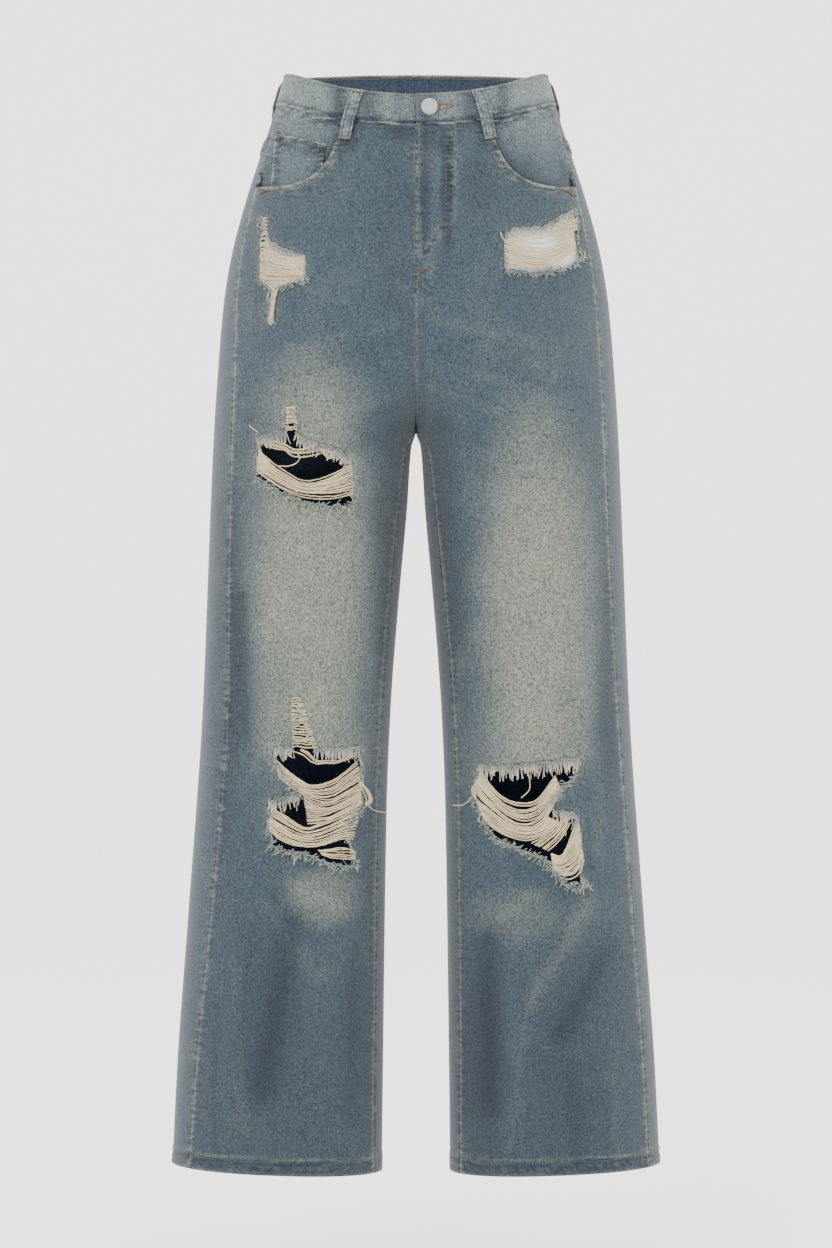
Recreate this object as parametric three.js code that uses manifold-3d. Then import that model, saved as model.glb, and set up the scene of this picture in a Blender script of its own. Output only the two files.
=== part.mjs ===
// Ripped high-waisted wide-leg jeans that keep the hollow form of a wearer, with nobody in them.
// Millimetres, +Z up. The front faces -Y and the wearer's left is at +X.
// The origin is the middle of the waist, where the wearer holds the garment up.
//
// Every piece is a wall laid on one skin, the jeans' outer surface. A place on the skin is a level, which is
// a height before the waist and hem tilt, and an angle round the leg: 0 at the outer side, negative in front.

import * as THREE from "three";
import { mergeVertices } from "three/addons/utils/BufferGeometryUtils.js";
import Module from "manifold-3d";

const { clamp, lerp, mapLinear, smoothstep } = THREE.MathUtils;
const wasm = await Module();
wasm.setup();

// ---- Driving dimensions ----

const GAP = 0.3; // air left between two pieces
const DENIM = 1.8; // one wall of denim
const LINING = 1.2; // pocketing and other thin cloth
const SEAM_ANGLE = 0.0018; // half the air at a lengthwise seam, in radians round the leg
const FORK_ANGLE = 0.02; // and more of it where four panels meet at the fork

const BAND_TOP = 20.5;
const BAND_HEIGHT = 31.5;
const BAND_WALL = 3;
const BAND_PROUD = 0.8; // the band stands out from the panels that it holds
const BAND_BOTTOM = BAND_TOP - BAND_HEIGHT;
const PANEL_TOP = BAND_BOTTOM - 2 * GAP; // where the panels under the band begin
const UNDERLAP = 36; // how far the band's lower end runs on under the upper end

const FRONT_DIP = 31; // the waist is this much lower at the centre front than at the sides
const FRONT_DIP_POWER = 2.5; // how sharply it dips there
const BACK_RISE = 15; // and this much higher at the centre back
const BACK_RISE_POWER = 1.4;
const WAIST_TILT_ENDS = -230; // the level where the waist's tilt has faded out

const CROTCH = -338;
const FORK_STARTS = -195; // from here down each side begins to be a leg of its own
const HEM = -1063;
const HEM_HEIGHT = 14;
const HEM_WALL = 3.6; // the turned-up hem
const HEM_DROP = 8; // the hem hangs lower at the inner side
const HEM_TILT_ENDS = HEM + 160;

const ROUNDNESS = 2.25; // the power of each superellipse section: 2 is an ellipse

// Distances from the garment's middle, by height.
const OUTER_SIDE = [
  [-1100, 246], [-1063, 243.5], [-960, 238.2], [-810, 227.1], [-610, 213.1], [-410, 205.2], [-338, 202],
  [-290, 199], [-210, 192.5], [-160, 184.5], [-110, 171.5], [-60, 155.5], [-15, 141], [20, 131], [40, 127],
];
const INNER_SIDE = [
  [-1100, 34.5], [-1063, 34], [-710, 29.1], [-610, 25.1], [-510, 17.6], [-410, 8.7], [-350, 4.5], [-338, 0.3],
];
const FRONT_DEPTH = [
  [-1100, 76], [-1063, 76], [-760, 78], [-610, 82], [-510, 88], [-410, 94], [-338, 98], [-210, 106],
  [-110, 104], [20, 92], [40, 89],
];
const BACK_DEPTH = [
  [-1100, 83], [-1063, 83], [-760, 85], [-610, 89], [-510, 96], [-410, 104], [-338, 112], [-250, 126],
  [-190, 130], [-110, 121], [-60, 110], [20, 91], [40, 84],
];

// How far each leg's two long seams lie in front of the outermost and innermost lines. The legs hang a
// little differently, so the wearer's right has its own.
const OUTSEAM_STRIP = {
  left: [[-1063, 13], [-700, 13], [-380, 17], [-155, 12], [-95, 8], [-40, 5], [20, 4]],
  right: [
    [-1063, 19], [-820, 25], [-650, 28], [-450, 23], [-320, 21], [-155, 11], [-95, 8], [-40, 5], [20, 4],
  ],
};
const INSEAM_STRIP = {
  left: [[-1063, 10], [-600, 12], [-450, 11], [-360, 7], [-338, 0.1]],
  right: [[-1063, 8], [-600, 9], [-450, 9], [-360, 5], [-338, 0.1]],
};

// Rows of points down a leg panel, close together round the fork and at the hem.
const PANEL_LEVELS = [
  -50, -90, -130, -175, -220, -262, -292, -312, -324, -332, -338, -344, -356, -380, -420, -470, -530, -590,
  -640, -690, -750, -820, -890, -960, -1025,
];
const PANEL_COLUMNS = 9;

// The largest folds, as ridges and troughs in the cloth: ends as [distance from the middle, height], then
// half width and height. face is -1 on the front and +1 on the back.
const FOLDS = [
  { side: -1, face: -1, from: [146, -480], to: [144, -650], width: 17, height: 4 },
  { side: -1, face: -1, from: [168, -500], to: [166, -640], width: 10, height: -4 },
  { side: -1, face: -1, from: [120, -820], to: [150, -980], width: 24, height: -5 },
  { side: 1, face: -1, from: [162, -560], to: [164, -650], width: 14, height: 4 },
  { side: 1, face: -1, from: [168, -800], to: [112, -900], width: 15, height: 5 },
  { side: 1, face: -1, from: [185, -850], to: [140, -930], width: 18, height: -4 },
  { side: 1, face: -1, from: [70, -830], to: [74, -1000], width: 18, height: -4 },
  { side: -1, face: 1, from: [60, -350], to: [160, -390], width: 20, height: -5 },
  { side: 1, face: 1, from: [60, -352], to: [165, -395], width: 20, height: -5 },
  { side: -1, face: 1, from: [60, -600], to: [175, -640], width: 22, height: 5 },
  { side: 1, face: 1, from: [65, -610], to: [180, -655], width: 22, height: 5 },
  { side: -1, face: 1, from: [75, -680], to: [165, -700], width: 20, height: -5 },
  { side: 1, face: 1, from: [75, -690], to: [170, -712], width: 20, height: -5 },
];

// Front pockets. Each opening is a scoop from the band to the outseam, as [distance from the middle, height].
const POCKET_MOUTH = [
  [72, -30], [73, -40], [78, -58], [87, -77], [102, -91], [120, -97], [140, -98], [160, -95],
];
const FACING_DEPTH = DENIM + LINING + 5 * GAP; // leaves room for the coin pocket under the front
const FACING_LOW = -106; // the level where the facing ends
const FACING_INNER = [56, 84]; // its inner edge, from the middle, at the band and at its low end
// The facing comes up flush near the outseam (in radians from it) and under the band (in levels), but only
// clear of the front panel: outside and above the pocket mouth's scoop.
const FLUSH = { bySeam: [0.02, 0.26], byBand: [-34, BAND_BOTTOM], outside: [90, 112], above: [-90, -72] };
const BAG = { inner: 50, low: -216, corner: 34, shortOfSeam: 0.1 };
const COIN_POCKET = { high: -37.5, low: -97, inner: [89, 97], outer: [139, 146] };

// Back pockets, as corners [distance from the middle, height].
const BACK_POCKET = {
  topInner: [40, -120], topOuter: [150, -106], lowInner: [50, -248], lowOuter: [146, -236], point: -268,
};
const YOKE_AT_SIDE = -54;
const YOKE_AT_BACK = -92;

const LOOP_WIDTH = 11;
const LOOP_WALL = 1.8;
const LOOP_LEVELS = [BAND_TOP - 0.5, -30];
// How far a loop stands off at each share of the way down it, with the room for a belt in the middle.
const LOOP_STAND = [
  [0, GAP], [0.08, 0.9], [0.2, 3.8], [0.34, 4.2], [0.64, 4.2], [0.78, 3], [0.9, 0.9], [1, GAP],
];
const FRONT_LOOPS = { left: [59, 72.5], right: [56, 69.5] }; // from the middle, at the top and at the foot
const SIDE_LOOP_ANGLE = 0.19; // behind the outermost line, in radians
const SIDE_RADIUS = 98; // the band's radius there

const FLY_LOW = -172; // the level where the fly ends
const FLY_WIDTH = 38;
// The hidden strips of the fly: how deep each lies, its thickness, its edges from the middle and its ends.
const FLY_FACING = { depth: 2.5, thickness: 1.5, across: [0.6, FLY_WIDTH], levels: [PANEL_TOP, FLY_LOW] };
const FLY_SHIELD = {
  depth: 8.1, thickness: 1.6, across: [-8, FLY_WIDTH + 4], levels: [PANEL_TOP, FLY_LOW - 6],
};
const ZIP_TAPE = { depth: 4.3, thickness: 0.9, across: [0.6, 27], levels: [PANEL_TOP, FLY_LOW + 4] };
const ZIP_TEETH = { depth: 5.5, thickness: 1.4, across: [11, 16], levels: [PANEL_TOP - 8, FLY_LOW + 10] };
const ZIP_SLIDER = {
  depth: 5.5, thickness: 1.9, across: [9.5, 17.5], levels: [PANEL_TOP - 4, PANEL_TOP - 13],
};
const ZIP_TAB = {
  depth: 6.8, thickness: 0.9, across: [11.5, 15.5], levels: [PANEL_TOP - 11, PANEL_TOP - 32],
};

const BUTTON = { x: 13, level: 6.5 }; // its place on the band
const BUTTON_HEAD = { radius: 8.3, dome: 4, under: 1.2, edge: 1.9, shoulder: 2.9, shank: 2.8 };
const BUTTON_TACK = { radius: 4.5, thickness: 1.8, bevel: 0.7, post: 1.5, clearance: 0.5 };
const BUTTONHOLE = { end: 37, height: 2.4, eye: 3.8 };
const CUTTER = 10; // the length of the tools that cut the buttonhole

// Rips right through the front panels, as [distance from the middle, height] round each hole.
const RIPS = {
  left: {
    hip: [
      [86, -152], [93, -142], [123, -139], [140, -128], [156, -117], [160, -124], [160, -152], [165, -164],
      [158, -171], [146, -179], [115, -185], [88, -182],
    ],
    knee: [
      [63, -666], [102, -665], [130, -661], [161, -657], [157, -673], [144, -686], [132, -702], [134, -709],
      [155, -711], [160, -717], [161, -737], [163, -754], [161, -771], [170, -783], [160, -785], [145, -781],
      [136, -769], [124, -756], [102, -747], [79, -738], [71, -729], [60, -708], [55, -690], [60, -669],
    ],
  },
  right: {
    hip: [
      [148, -127], [144, -150], [130, -160], [108, -167], [107, -190], [123, -195], [137, -198], [139, -230],
      [144, -230], [145, -197], [154, -189], [153, -155], [152, -127],
    ],
    thigh: [
      [155, -345], [139, -343], [126, -339], [125, -318], [118, -318], [115, -343], [97, -351], [84, -354],
      [63, -366], [61, -401], [62, -413], [107, -410], [134, -398], [156, -382],
    ],
    knee: [
      [139, -647], [122, -647], [118, -615], [115, -598], [109, -614], [99, -647], [74, -649], [54, -647],
      [52, -684], [52, -706], [65, -720], [67, -731], [60, -753], [60, -766], [87, -761], [100, -755],
      [126, -749], [140, -743], [145, -726], [144, -699], [114, -693], [139, -661],
    ],
  },
};

// ---- Materials ----

const finish = (color, roughness, metalness = 0) =>
  new THREE.MeshStandardMaterial({ color, roughness, metalness });
const materials = {
  denim: finish(0x5b6c75, 0.9),
  fadedDenim: finish(0x7a8a90, 0.9),
  bandDenim: finish(0x62737d, 0.9),
  pocketing: finish(0xdedcd4, 0.85),
  zipTape: finish(0x2f3a46, 0.8),
  brass: finish(0xa07c48, 0.4, 1),
  nickel: finish(0xc9cac8, 0.35, 1),
};

// ---- The skin ----

// A smooth value between stations of [height, value], with no overshoot.
function alongHeight(stations, z) {
  const last = stations.length - 1;
  const slope = (i) => (stations[i + 1][1] - stations[i][1]) / (stations[i + 1][0] - stations[i][0]);
  const tangent = (i) => {
    if (i === 0 || i === last) return slope(Math.min(i, last - 1));
    const before = slope(i - 1);
    const after = slope(i);
    return before * after <= 0 ? 0 : (2 * before * after) / (before + after);
  };
  let i = 0;
  while (i < last - 1 && z > stations[i + 1][0]) i += 1;
  const step = stations[i + 1][0] - stations[i][0];
  const t = clamp((z - stations[i][0]) / step, 0, 1);
  return (
    (1 + 2 * t) * (1 - t) ** 2 * stations[i][1] +
    t * (1 - t) ** 2 * step * tangent(i) +
    t * t * (3 - 2 * t) * stations[i + 1][1] +
    t * t * (t - 1) * step * tangent(i + 1)
  );
}

const power = (value, exponent) => Math.sign(value) * Math.abs(value) ** exponent;

// Above the fork a section is one ring, cut in half by the middle plane. Down the fork its centre moves
// outwards until, at the crotch, each half is a closed leg.
function sectionAt(z) {
  const outer = alongHeight(OUTER_SIDE, z);
  const forked = 1 - smoothstep(z, CROTCH, FORK_STARTS);
  const inner = alongHeight(INNER_SIDE, Math.min(z, CROTCH));
  const centre = (forked * (outer + inner)) / 2;
  return { centre, half: outer - centre, inner, outer };
}

function tilt(level, across, forward) {
  const atWaist = smoothstep(level, WAIST_TILT_ENDS, BAND_BOTTOM);
  const atHem = 1 - smoothstep(level, HEM, HEM_TILT_ENDS);
  const dip = -FRONT_DIP * Math.abs(forward) ** FRONT_DIP_POWER;
  const rise = BACK_RISE * Math.abs(forward) ** BACK_RISE_POWER;
  return (forward < 0 ? dip : rise) * atWaist - HEM_DROP * atHem * (1 - across) / 2;
}

function relief(side, face, x, z) {
  let height = 0;
  for (const fold of FOLDS) {
    if (fold.side !== side || fold.face !== face) continue;
    const alongX = fold.to[0] - fold.from[0];
    const alongZ = fold.to[1] - fold.from[1];
    const reach = (x - fold.from[0]) * alongX + (z - fold.from[1]) * alongZ;
    const t = clamp(reach / (alongX ** 2 + alongZ ** 2), 0, 1);
    const away = Math.hypot(x - fold.from[0] - t * alongX, z - fold.from[1] - t * alongZ);
    height += fold.height * Math.exp(-((away / fold.width) ** 2));
  }
  return height;
}

// The skin point at x (from the middle) and height z, on the front or the back.
function faceAt(side, face, x, z) {
  const { centre, half } = sectionAt(z);
  const depth = alongHeight(face < 0 ? FRONT_DEPTH : BACK_DEPTH, z);
  const across = Math.min(Math.abs((x - centre) / half), 1);
  const y = face * (depth * (1 - across ** ROUNDNESS) ** (1 / ROUNDNESS) + relief(side, face, x, z));
  return new THREE.Vector3(side * x, y, z);
}

// The skin point at a level and an angle round the leg.
function skin(side, level, angle) {
  const across = power(Math.cos(angle), 2 / ROUNDNESS);
  const forward = power(Math.sin(angle), 2 / ROUNDNESS);
  const z = level + tilt(level, across, forward);
  const { centre, half } = sectionAt(z);
  const face = forward < 0 ? -1 : 1;
  const depth = alongHeight(face < 0 ? FRONT_DEPTH : BACK_DEPTH, z);
  const x = centre + half * across;
  const y = depth * forward + face * Math.abs(forward) * relief(side, face, x, z);
  return new THREE.Vector3(side * x, y, z);
}

// The angle where the skin at a level is x from the middle, in front (face -1) or behind (face 1).
function angleAt(level, x, face) {
  let angle = (face * Math.PI) / 2;
  for (let pass = 0; pass < 8; pass += 1) {
    const across = power(Math.cos(angle), 2 / ROUNDNESS);
    const z = level + tilt(level, across, power(Math.sin(angle), 2 / ROUNDNESS));
    const { centre, half } = sectionAt(z);
    const wanted = clamp((x - centre) / half, -1, 1);
    angle = face * Math.acos(power(wanted, ROUNDNESS / 2));
  }
  return angle;
}

const sideName = (side) => (side > 0 ? "left" : "right");

// The air at the inseam, wider over the last few millimetres below the fork.
const inseamAir = (level) => SEAM_ANGLE + FORK_ANGLE * smoothstep(level, CROTCH - 14, CROTCH - 2);

function outseamAngle(side, level) {
  const x = sectionAt(level).outer - alongHeight(OUTSEAM_STRIP[sideName(side)], level);
  return angleAt(level, x, -1);
}

// The front panel's inner edge: the centre front down to the crotch, then the inseam.
function frontInnerAngle(side, level) {
  if (level > CROTCH) return angleAt(level, GAP / 2, -1);
  const x = sectionAt(level).inner + alongHeight(INSEAM_STRIP[sideName(side)], level);
  return angleAt(level, x, -1);
}

// The back panel's inner edge: the centre back, then past the innermost line to the same inseam.
function backInnerAngle(side, level) {
  return level > CROTCH ? angleAt(level, GAP / 2, 1) : frontInnerAngle(side, level) + 2 * Math.PI;
}

// ---- Walls ----

// The steps that a skin normal is measured over: along a column in u, and down a row in v.
const U_STEP = 1e-4;
const V_STEP = 0.02;

function normalOf(place, u, v, side) {
  const acrossSkin = place(u + U_STEP, v).sub(place(u - U_STEP, v));
  const downSkin = place(u, v - V_STEP).sub(place(u, v + V_STEP));
  return downSkin.cross(acrossSkin).normalize().multiplyScalar(side);
}

const asFunction = (value) => (typeof value === "function" ? value : () => value);

// A closed wall on the skin. place(u, v) gives the skin point, us and vs the columns and rows, v falling.
// outset moves the outer face out from the skin, and the wall's thickness goes inwards from there.
function clothWall({ side = 1, place, us, vs, outset = 0, thickness = DENIM }) {
  const outsetAt = asFunction(outset);
  const thicknessAt = asFunction(thickness);
  const positions = [];
  for (const layer of [0, 1]) {
    for (const v of vs) {
      for (const u of us) {
        const out = outsetAt(u, v) - layer * thicknessAt(u, v);
        positions.push(...place(u, v).addScaledVector(normalOf(place, u, v, side), out).toArray());
      }
    }
  }
  const columns = us.length;
  const rows = vs.length;
  const at = (layer, i, j) => layer * rows * columns + i * columns + j;
  const triangles = [];
  const quad = (a, b, c, d) => triangles.push(...(side > 0 ? [a, b, c, a, c, d] : [a, c, b, a, d, c]));
  for (let i = 0; i < rows - 1; i += 1) {
    for (let j = 0; j < columns - 1; j += 1) {
      quad(at(0, i, j), at(0, i + 1, j), at(0, i + 1, j + 1), at(0, i, j + 1));
      quad(at(1, i, j), at(1, i, j + 1), at(1, i + 1, j + 1), at(1, i + 1, j));
    }
  }
  for (let j = 0; j < columns - 1; j += 1) {
    quad(at(0, 0, j), at(0, 0, j + 1), at(1, 0, j + 1), at(1, 0, j));
    quad(at(0, rows - 1, j + 1), at(0, rows - 1, j), at(1, rows - 1, j), at(1, rows - 1, j + 1));
  }
  for (let i = 0; i < rows - 1; i += 1) {
    quad(at(0, i + 1, 0), at(0, i, 0), at(1, i, 0), at(1, i + 1, 0));
    quad(at(0, i, columns - 1), at(0, i + 1, columns - 1), at(1, i + 1, columns - 1), at(1, i, columns - 1));
  }
  const geometry = new THREE.BufferGeometry();
  geometry.setAttribute("position", new THREE.Float32BufferAttribute(positions, 3));
  geometry.setIndex(triangles);
  return geometry;
}

const steps = (count, from = 0, to = 1) =>
  Array.from({ length: count + 1 }, (_, i) => from + ((to - from) * i) / count);

// ---- Cutting and joining ----

function toSolid(geometry) {
  const bare = geometry.clone();
  bare.deleteAttribute("normal");
  bare.deleteAttribute("uv");
  const merged = mergeVertices(bare, 1e-4);
  return new wasm.Manifold(
    new wasm.Mesh({
      numProp: 3,
      vertProperties: new Float32Array(merged.attributes.position.array),
      triVerts: new Uint32Array(merged.index.array),
    }),
  );
}

function toGeometry(solid) {
  const { vertProperties, triVerts } = solid.getMesh();
  const geometry = new THREE.BufferGeometry();
  geometry.setAttribute("position", new THREE.BufferAttribute(vertProperties, 3));
  geometry.setIndex(new THREE.BufferAttribute(triVerts, 1));
  return geometry;
}

const cut = (geometry, cutters) =>
  toGeometry(cutters.reduce((solid, cutter) => solid.subtract(toSolid(cutter)), toSolid(geometry)));

const join = (geometries) =>
  toGeometry(geometries.map(toSolid).reduce((whole, solid) => whole.add(solid)));

const PRISM_DEPTH = 160; // from the middle of the garment to well in front of it

// A prism through the front, from its outline of [distance from the middle, height].
function frontPrism(side, outline) {
  const shape = new THREE.Shape(outline.map(([x, z]) => new THREE.Vector2(side * x, z)));
  const prism = new THREE.ExtrudeGeometry(shape, { depth: PRISM_DEPTH, bevelEnabled: false });
  return prism.rotateX(Math.PI / 2);
}

// ---- Pieces ----

const jeans = new THREE.Group();

function addPiece(name, geometry, material) {
  const piece = new THREE.Mesh(geometry, material);
  piece.name = name;
  jeans.add(piece);
}

const hemWall = (u, level) => (level < HEM + HEM_HEIGHT ? HEM_WALL : DENIM);
const hemLevels = [HEM + HEM_HEIGHT + GAP, HEM + HEM_HEIGHT - GAP, HEM];

// Pocket openings and rips are cut right through the front panels.
function frontPanel(side) {
  const place = (u, level) => {
    const inner = frontInnerAngle(side, level) + (level > CROTCH ? 0 : inseamAir(level));
    return skin(side, level, lerp(inner, outseamAngle(side, level) - SEAM_ANGLE, u));
  };
  const panel = clothWall({
    side,
    place,
    us: steps(PANEL_COLUMNS),
    vs: [PANEL_TOP, ...PANEL_LEVELS, ...hemLevels],
    thickness: hemWall,
  });
  const [innerEnd] = POCKET_MOUTH;
  const [beyondSide, beyondTop] = [220, 40];
  const mouth = [[innerEnd[0], beyondTop], ...POCKET_MOUTH, [beyondSide, -90], [beyondSide, beyondTop]];
  const rips = Object.values(RIPS[sideName(side)]);
  return cut(panel, [mouth, ...rips].map((outline) => frontPrism(side, outline)));
}

function yokeLevel(side, angle) {
  const t = (angle - outseamAngle(side, YOKE_AT_SIDE)) / (Math.PI / 2 - outseamAngle(side, YOKE_AT_SIDE));
  return lerp(YOKE_AT_SIDE, YOKE_AT_BACK, t);
}

// The yoke seam runs down from the outseam to the centre back.
function backAngle(side, u, level) {
  const start = outseamAngle(side, level) + SEAM_ANGLE;
  return lerp(start, backInnerAngle(side, level) - (level > CROTCH ? 0 : inseamAir(level)), u);
}

function backPanel(side) {
  const rows = PANEL_LEVELS.filter((level) => level < YOKE_AT_BACK);
  // The first row follows the yoke seam, and every level between it and the second row is drawn up to it.
  const levelOf = (u, v) => {
    if (v < rows[0]) return v;
    const seam = yokeLevel(side, backAngle(side, u, YOKE_AT_BACK)) - GAP / 2;
    return mapLinear(v, rows[0], YOKE_AT_BACK, rows[0], seam);
  };
  const place = (u, v) => skin(side, levelOf(u, v), backAngle(side, u, levelOf(u, v)));
  const vs = [YOKE_AT_BACK, ...rows, ...hemLevels];
  return clothWall({ side, place, us: steps(PANEL_COLUMNS), vs, thickness: hemWall });
}

function yoke(side) {
  const place = (u, v) => {
    const seam = yokeLevel(side, backAngle(side, u, YOKE_AT_BACK)) + GAP / 2;
    const level = lerp(seam, PANEL_TOP, v);
    return skin(side, level, backAngle(side, u, level));
  };
  return clothWall({ side, place, us: steps(PANEL_COLUMNS), vs: [1, 0.5, 0] });
}

// The band is one strip: its upper end is at the centre front, and its lower end passes under it.
const bandStart = -Math.PI / 2;
const bandEnd = bandStart + 2 * Math.PI;
const underlapAngle = angleAt(0, UNDERLAP, -1) - bandStart;
const insetStart = bandEnd - 0.16; // the lower end steps in between these two angles
const insetEnd = bandEnd - 0.02;

const bandInset = (angle) => (BAND_WALL + GAP) * smoothstep(angle, insetStart, insetEnd);

function waistband() {
  const angles = [...steps(40, bandStart, insetStart - 0.04), ...steps(5, insetStart, bandEnd)];
  angles.push(...steps(3, bandEnd, bandEnd + underlapAngle).slice(1));
  const band = clothWall({
    place: (angle, level) => skin(1, level, angle),
    us: angles,
    vs: [BAND_TOP, (BAND_TOP + BAND_BOTTOM) / 2, BAND_BOTTOM],
    outset: (angle) => BAND_PROUD - bandInset(angle),
    thickness: BAND_WALL,
  });
  // The buttonhole's cutters begin halfway between the two ends' walls, so they cut the upper end alone.
  const out = BAND_PROUD - BAND_WALL - GAP / 2 + CUTTER / 2;
  const eye = new THREE.CylinderGeometry(BUTTONHOLE.eye, BUTTONHOLE.eye, CUTTER, 16);
  const slitLength = BUTTONHOLE.end - BUTTON.x;
  const slit = new THREE.BoxGeometry(slitLength, CUTTER, BUTTONHOLE.height).translate(slitLength / 2, 0, 0);
  const postRadius = BUTTON_TACK.post + BUTTON_TACK.clearance;
  const postHole = new THREE.CylinderGeometry(postRadius, postRadius, 3 * CUTTER, 12);
  return cut(band, [alongButton(eye, out), alongButton(slit, out), alongButton(postHole, 0)]);
}

// Turns a shape whose +Y points out of the garment, and puts it on the button's axis, out from the skin.
function alongButton(geometry, out) {
  const place = (u, level) => skin(1, level, angleAt(level, u, -1));
  const centre = place(BUTTON.x, BUTTON.level);
  const ahead = place(BUTTON.x + 1, BUTTON.level);
  const scale = 100; // makes the step in u a hundredth of a millimetre
  const normal = normalOf((u, v) => place(u * scale, v), BUTTON.x / scale, BUTTON.level, 1);
  const along = ahead.sub(centre).projectOnPlane(normal).normalize();
  const turn = new THREE.Matrix4().makeBasis(along, normal, along.clone().cross(normal));
  turn.setPosition(centre.addScaledVector(normal, out));
  return geometry.applyMatrix4(turn);
}

// A loop is sewn down at both ends and stands off between them. angleOf places a point across its width,
// in millimetres from its middle line, at a share of the way from its top to its foot.
function beltLoop(side, angleOf) {
  const [high, low] = LOOP_LEVELS;
  const levelOf = ([share]) => lerp(high, low, share);
  const standAt = (u, level) => {
    const [, off] = LOOP_STAND.find((station) => levelOf(station) === level);
    return off + LOOP_WALL + (level > BAND_BOTTOM - 2 ? BAND_PROUD : 0);
  };
  return clothWall({
    side,
    place: (u, level) => skin(side, level, angleOf(u, level, (high - level) / (high - low))),
    us: steps(2, -LOOP_WIDTH / 2, LOOP_WIDTH / 2),
    vs: LOOP_STAND.map(levelOf),
    outset: standAt,
    thickness: LOOP_WALL,
  });
}

function frontLoop(side) {
  const [top, foot] = FRONT_LOOPS[sideName(side)];
  const xOf = (offset, share) => lerp(top, foot, share) + offset;
  return beltLoop(side, (offset, level, share) => angleAt(level, xOf(offset, share), -1));
}

const sideLoop = (side) => beltLoop(side, (offset) => SIDE_LOOP_ANGLE + offset / SIDE_RADIUS);
const centreBackLoop = () => beltLoop(1, (offset, level) => angleAt(level, -offset, 1));

// The facing lies behind the front at the pocket's mouth, and comes up flush to the outseam and the band.
function facingOutset(side, angle, level) {
  const point = skin(1, level, angle);
  const toSeam = outseamAngle(side, level) - angle;
  const bySeam = 1 - smoothstep(toSeam, ...FLUSH.bySeam);
  const byBand = smoothstep(level, ...FLUSH.byBand);
  const outside = smoothstep(point.x, ...FLUSH.outside);
  const clearOfFront = outside * smoothstep(point.z, ...FLUSH.above);
  return -FACING_DEPTH * (1 - Math.max(bySeam, byBand) * clearOfFront);
}

function pocketFacing(side) {
  const angleOf = (u, level) => {
    const innerEdge = mapLinear(level, BAND_BOTTOM, FACING_LOW, ...FACING_INNER);
    const inner = angleAt(level, innerEdge, -1);
    return lerp(inner, outseamAngle(side, level) - SEAM_ANGLE, u);
  };
  return clothWall({
    side,
    place: (u, level) => skin(side, level, angleOf(u, level)),
    us: steps(8),
    vs: steps(7, PANEL_TOP, FACING_LOW),
    outset: (u, level) => facingOutset(side, angleOf(u, level), level),
    thickness: LINING,
  });
}

function pocketBag(side) {
  const place = (u, v) => {
    const rounded = BAG.corner * Math.abs(2 * u - 1) ** 3;
    const level = lerp(BAG.low + rounded, PANEL_TOP, v);
    const inner = angleAt(level, BAG.inner, -1);
    return skin(side, level, lerp(inner, outseamAngle(side, level) - BAG.shortOfSeam, u));
  };
  const outset = -(FACING_DEPTH + LINING + GAP);
  return clothWall({ side, place, us: steps(6), vs: steps(6, 1, 0), outset, thickness: LINING });
}

// A patch on the front or back, between four corners of [distance from the middle, height].
function cornerPatch(side, face, corners, point = 0) {
  const { topInner, topOuter, lowInner, lowOuter } = corners;
  return (u, v) => {
    const top = [lerp(topInner[0], topOuter[0], u), lerp(topInner[1], topOuter[1], u)];
    const low = [lerp(lowInner[0], lowOuter[0], u), lerp(lowInner[1], lowOuter[1], u)];
    low[1] += point * (1 - Math.abs(2 * u - 1));
    return faceAt(side, face, lerp(low[0], top[0], v), lerp(low[1], top[1], v));
  };
}

function coinPocket() {
  const { high, low, inner, outer } = COIN_POCKET;
  const angleOf = (u, level) => {
    const edges = [inner, outer].map(([top, foot]) => mapLinear(level, high, low, top, foot));
    return angleAt(level, lerp(edges[0], edges[1], u), -1);
  };
  return clothWall({
    side: -1,
    place: (u, level) => skin(-1, level, angleOf(u, level)),
    us: steps(6),
    vs: steps(6, high, low),
    outset: (u, level) => facingOutset(-1, angleOf(u, level), level) + 2 * GAP + LINING,
    thickness: LINING,
  });
}

function backPocket(side) {
  const lowest = (BACK_POCKET.lowInner[1] + BACK_POCKET.lowOuter[1]) / 2;
  const patch = cornerPatch(side, 1, BACK_POCKET, BACK_POCKET.point - lowest);
  return clothWall({
    side: -side,
    place: patch,
    us: steps(8),
    vs: steps(6, 1, 0),
    outset: 2 * GAP + DENIM,
    thickness: DENIM,
  });
}

// A hidden strip of the fly, behind the front's left side.
function flyStrip({ depth, thickness, across, levels }) {
  return clothWall({
    place: (x, level) => skin(1, level, angleAt(level, x, -1)),
    us: steps(3, ...across),
    vs: steps(5, ...levels),
    outset: -depth,
    thickness,
  });
}

// The closed zip's teeth, with the slider at the top and its pull tab lying down.
const zipChain = () => join([ZIP_TEETH, ZIP_SLIDER, ZIP_TAB].map(flyStrip));

const turned = (profile, sides) =>
  alongButton(new THREE.LatheGeometry(profile.map(([r, y]) => new THREE.Vector2(r, y)), sides), 0);

function buttonHead() {
  const { radius, dome, under, edge, shoulder, shank } = BUTTON_HEAD;
  const bottom = BAND_PROUD - BAND_WALL;
  const profile = [
    [0, bottom], [shank, bottom], [shank, BAND_PROUD + under], [radius - 1, BAND_PROUD + under],
    [radius, BAND_PROUD + edge], [radius - 0.4, BAND_PROUD + shoulder],
    [radius - 1.6, BAND_PROUD + dome - 0.5], [0, BAND_PROUD + dome],
  ];
  return turned(profile, 32);
}

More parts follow.
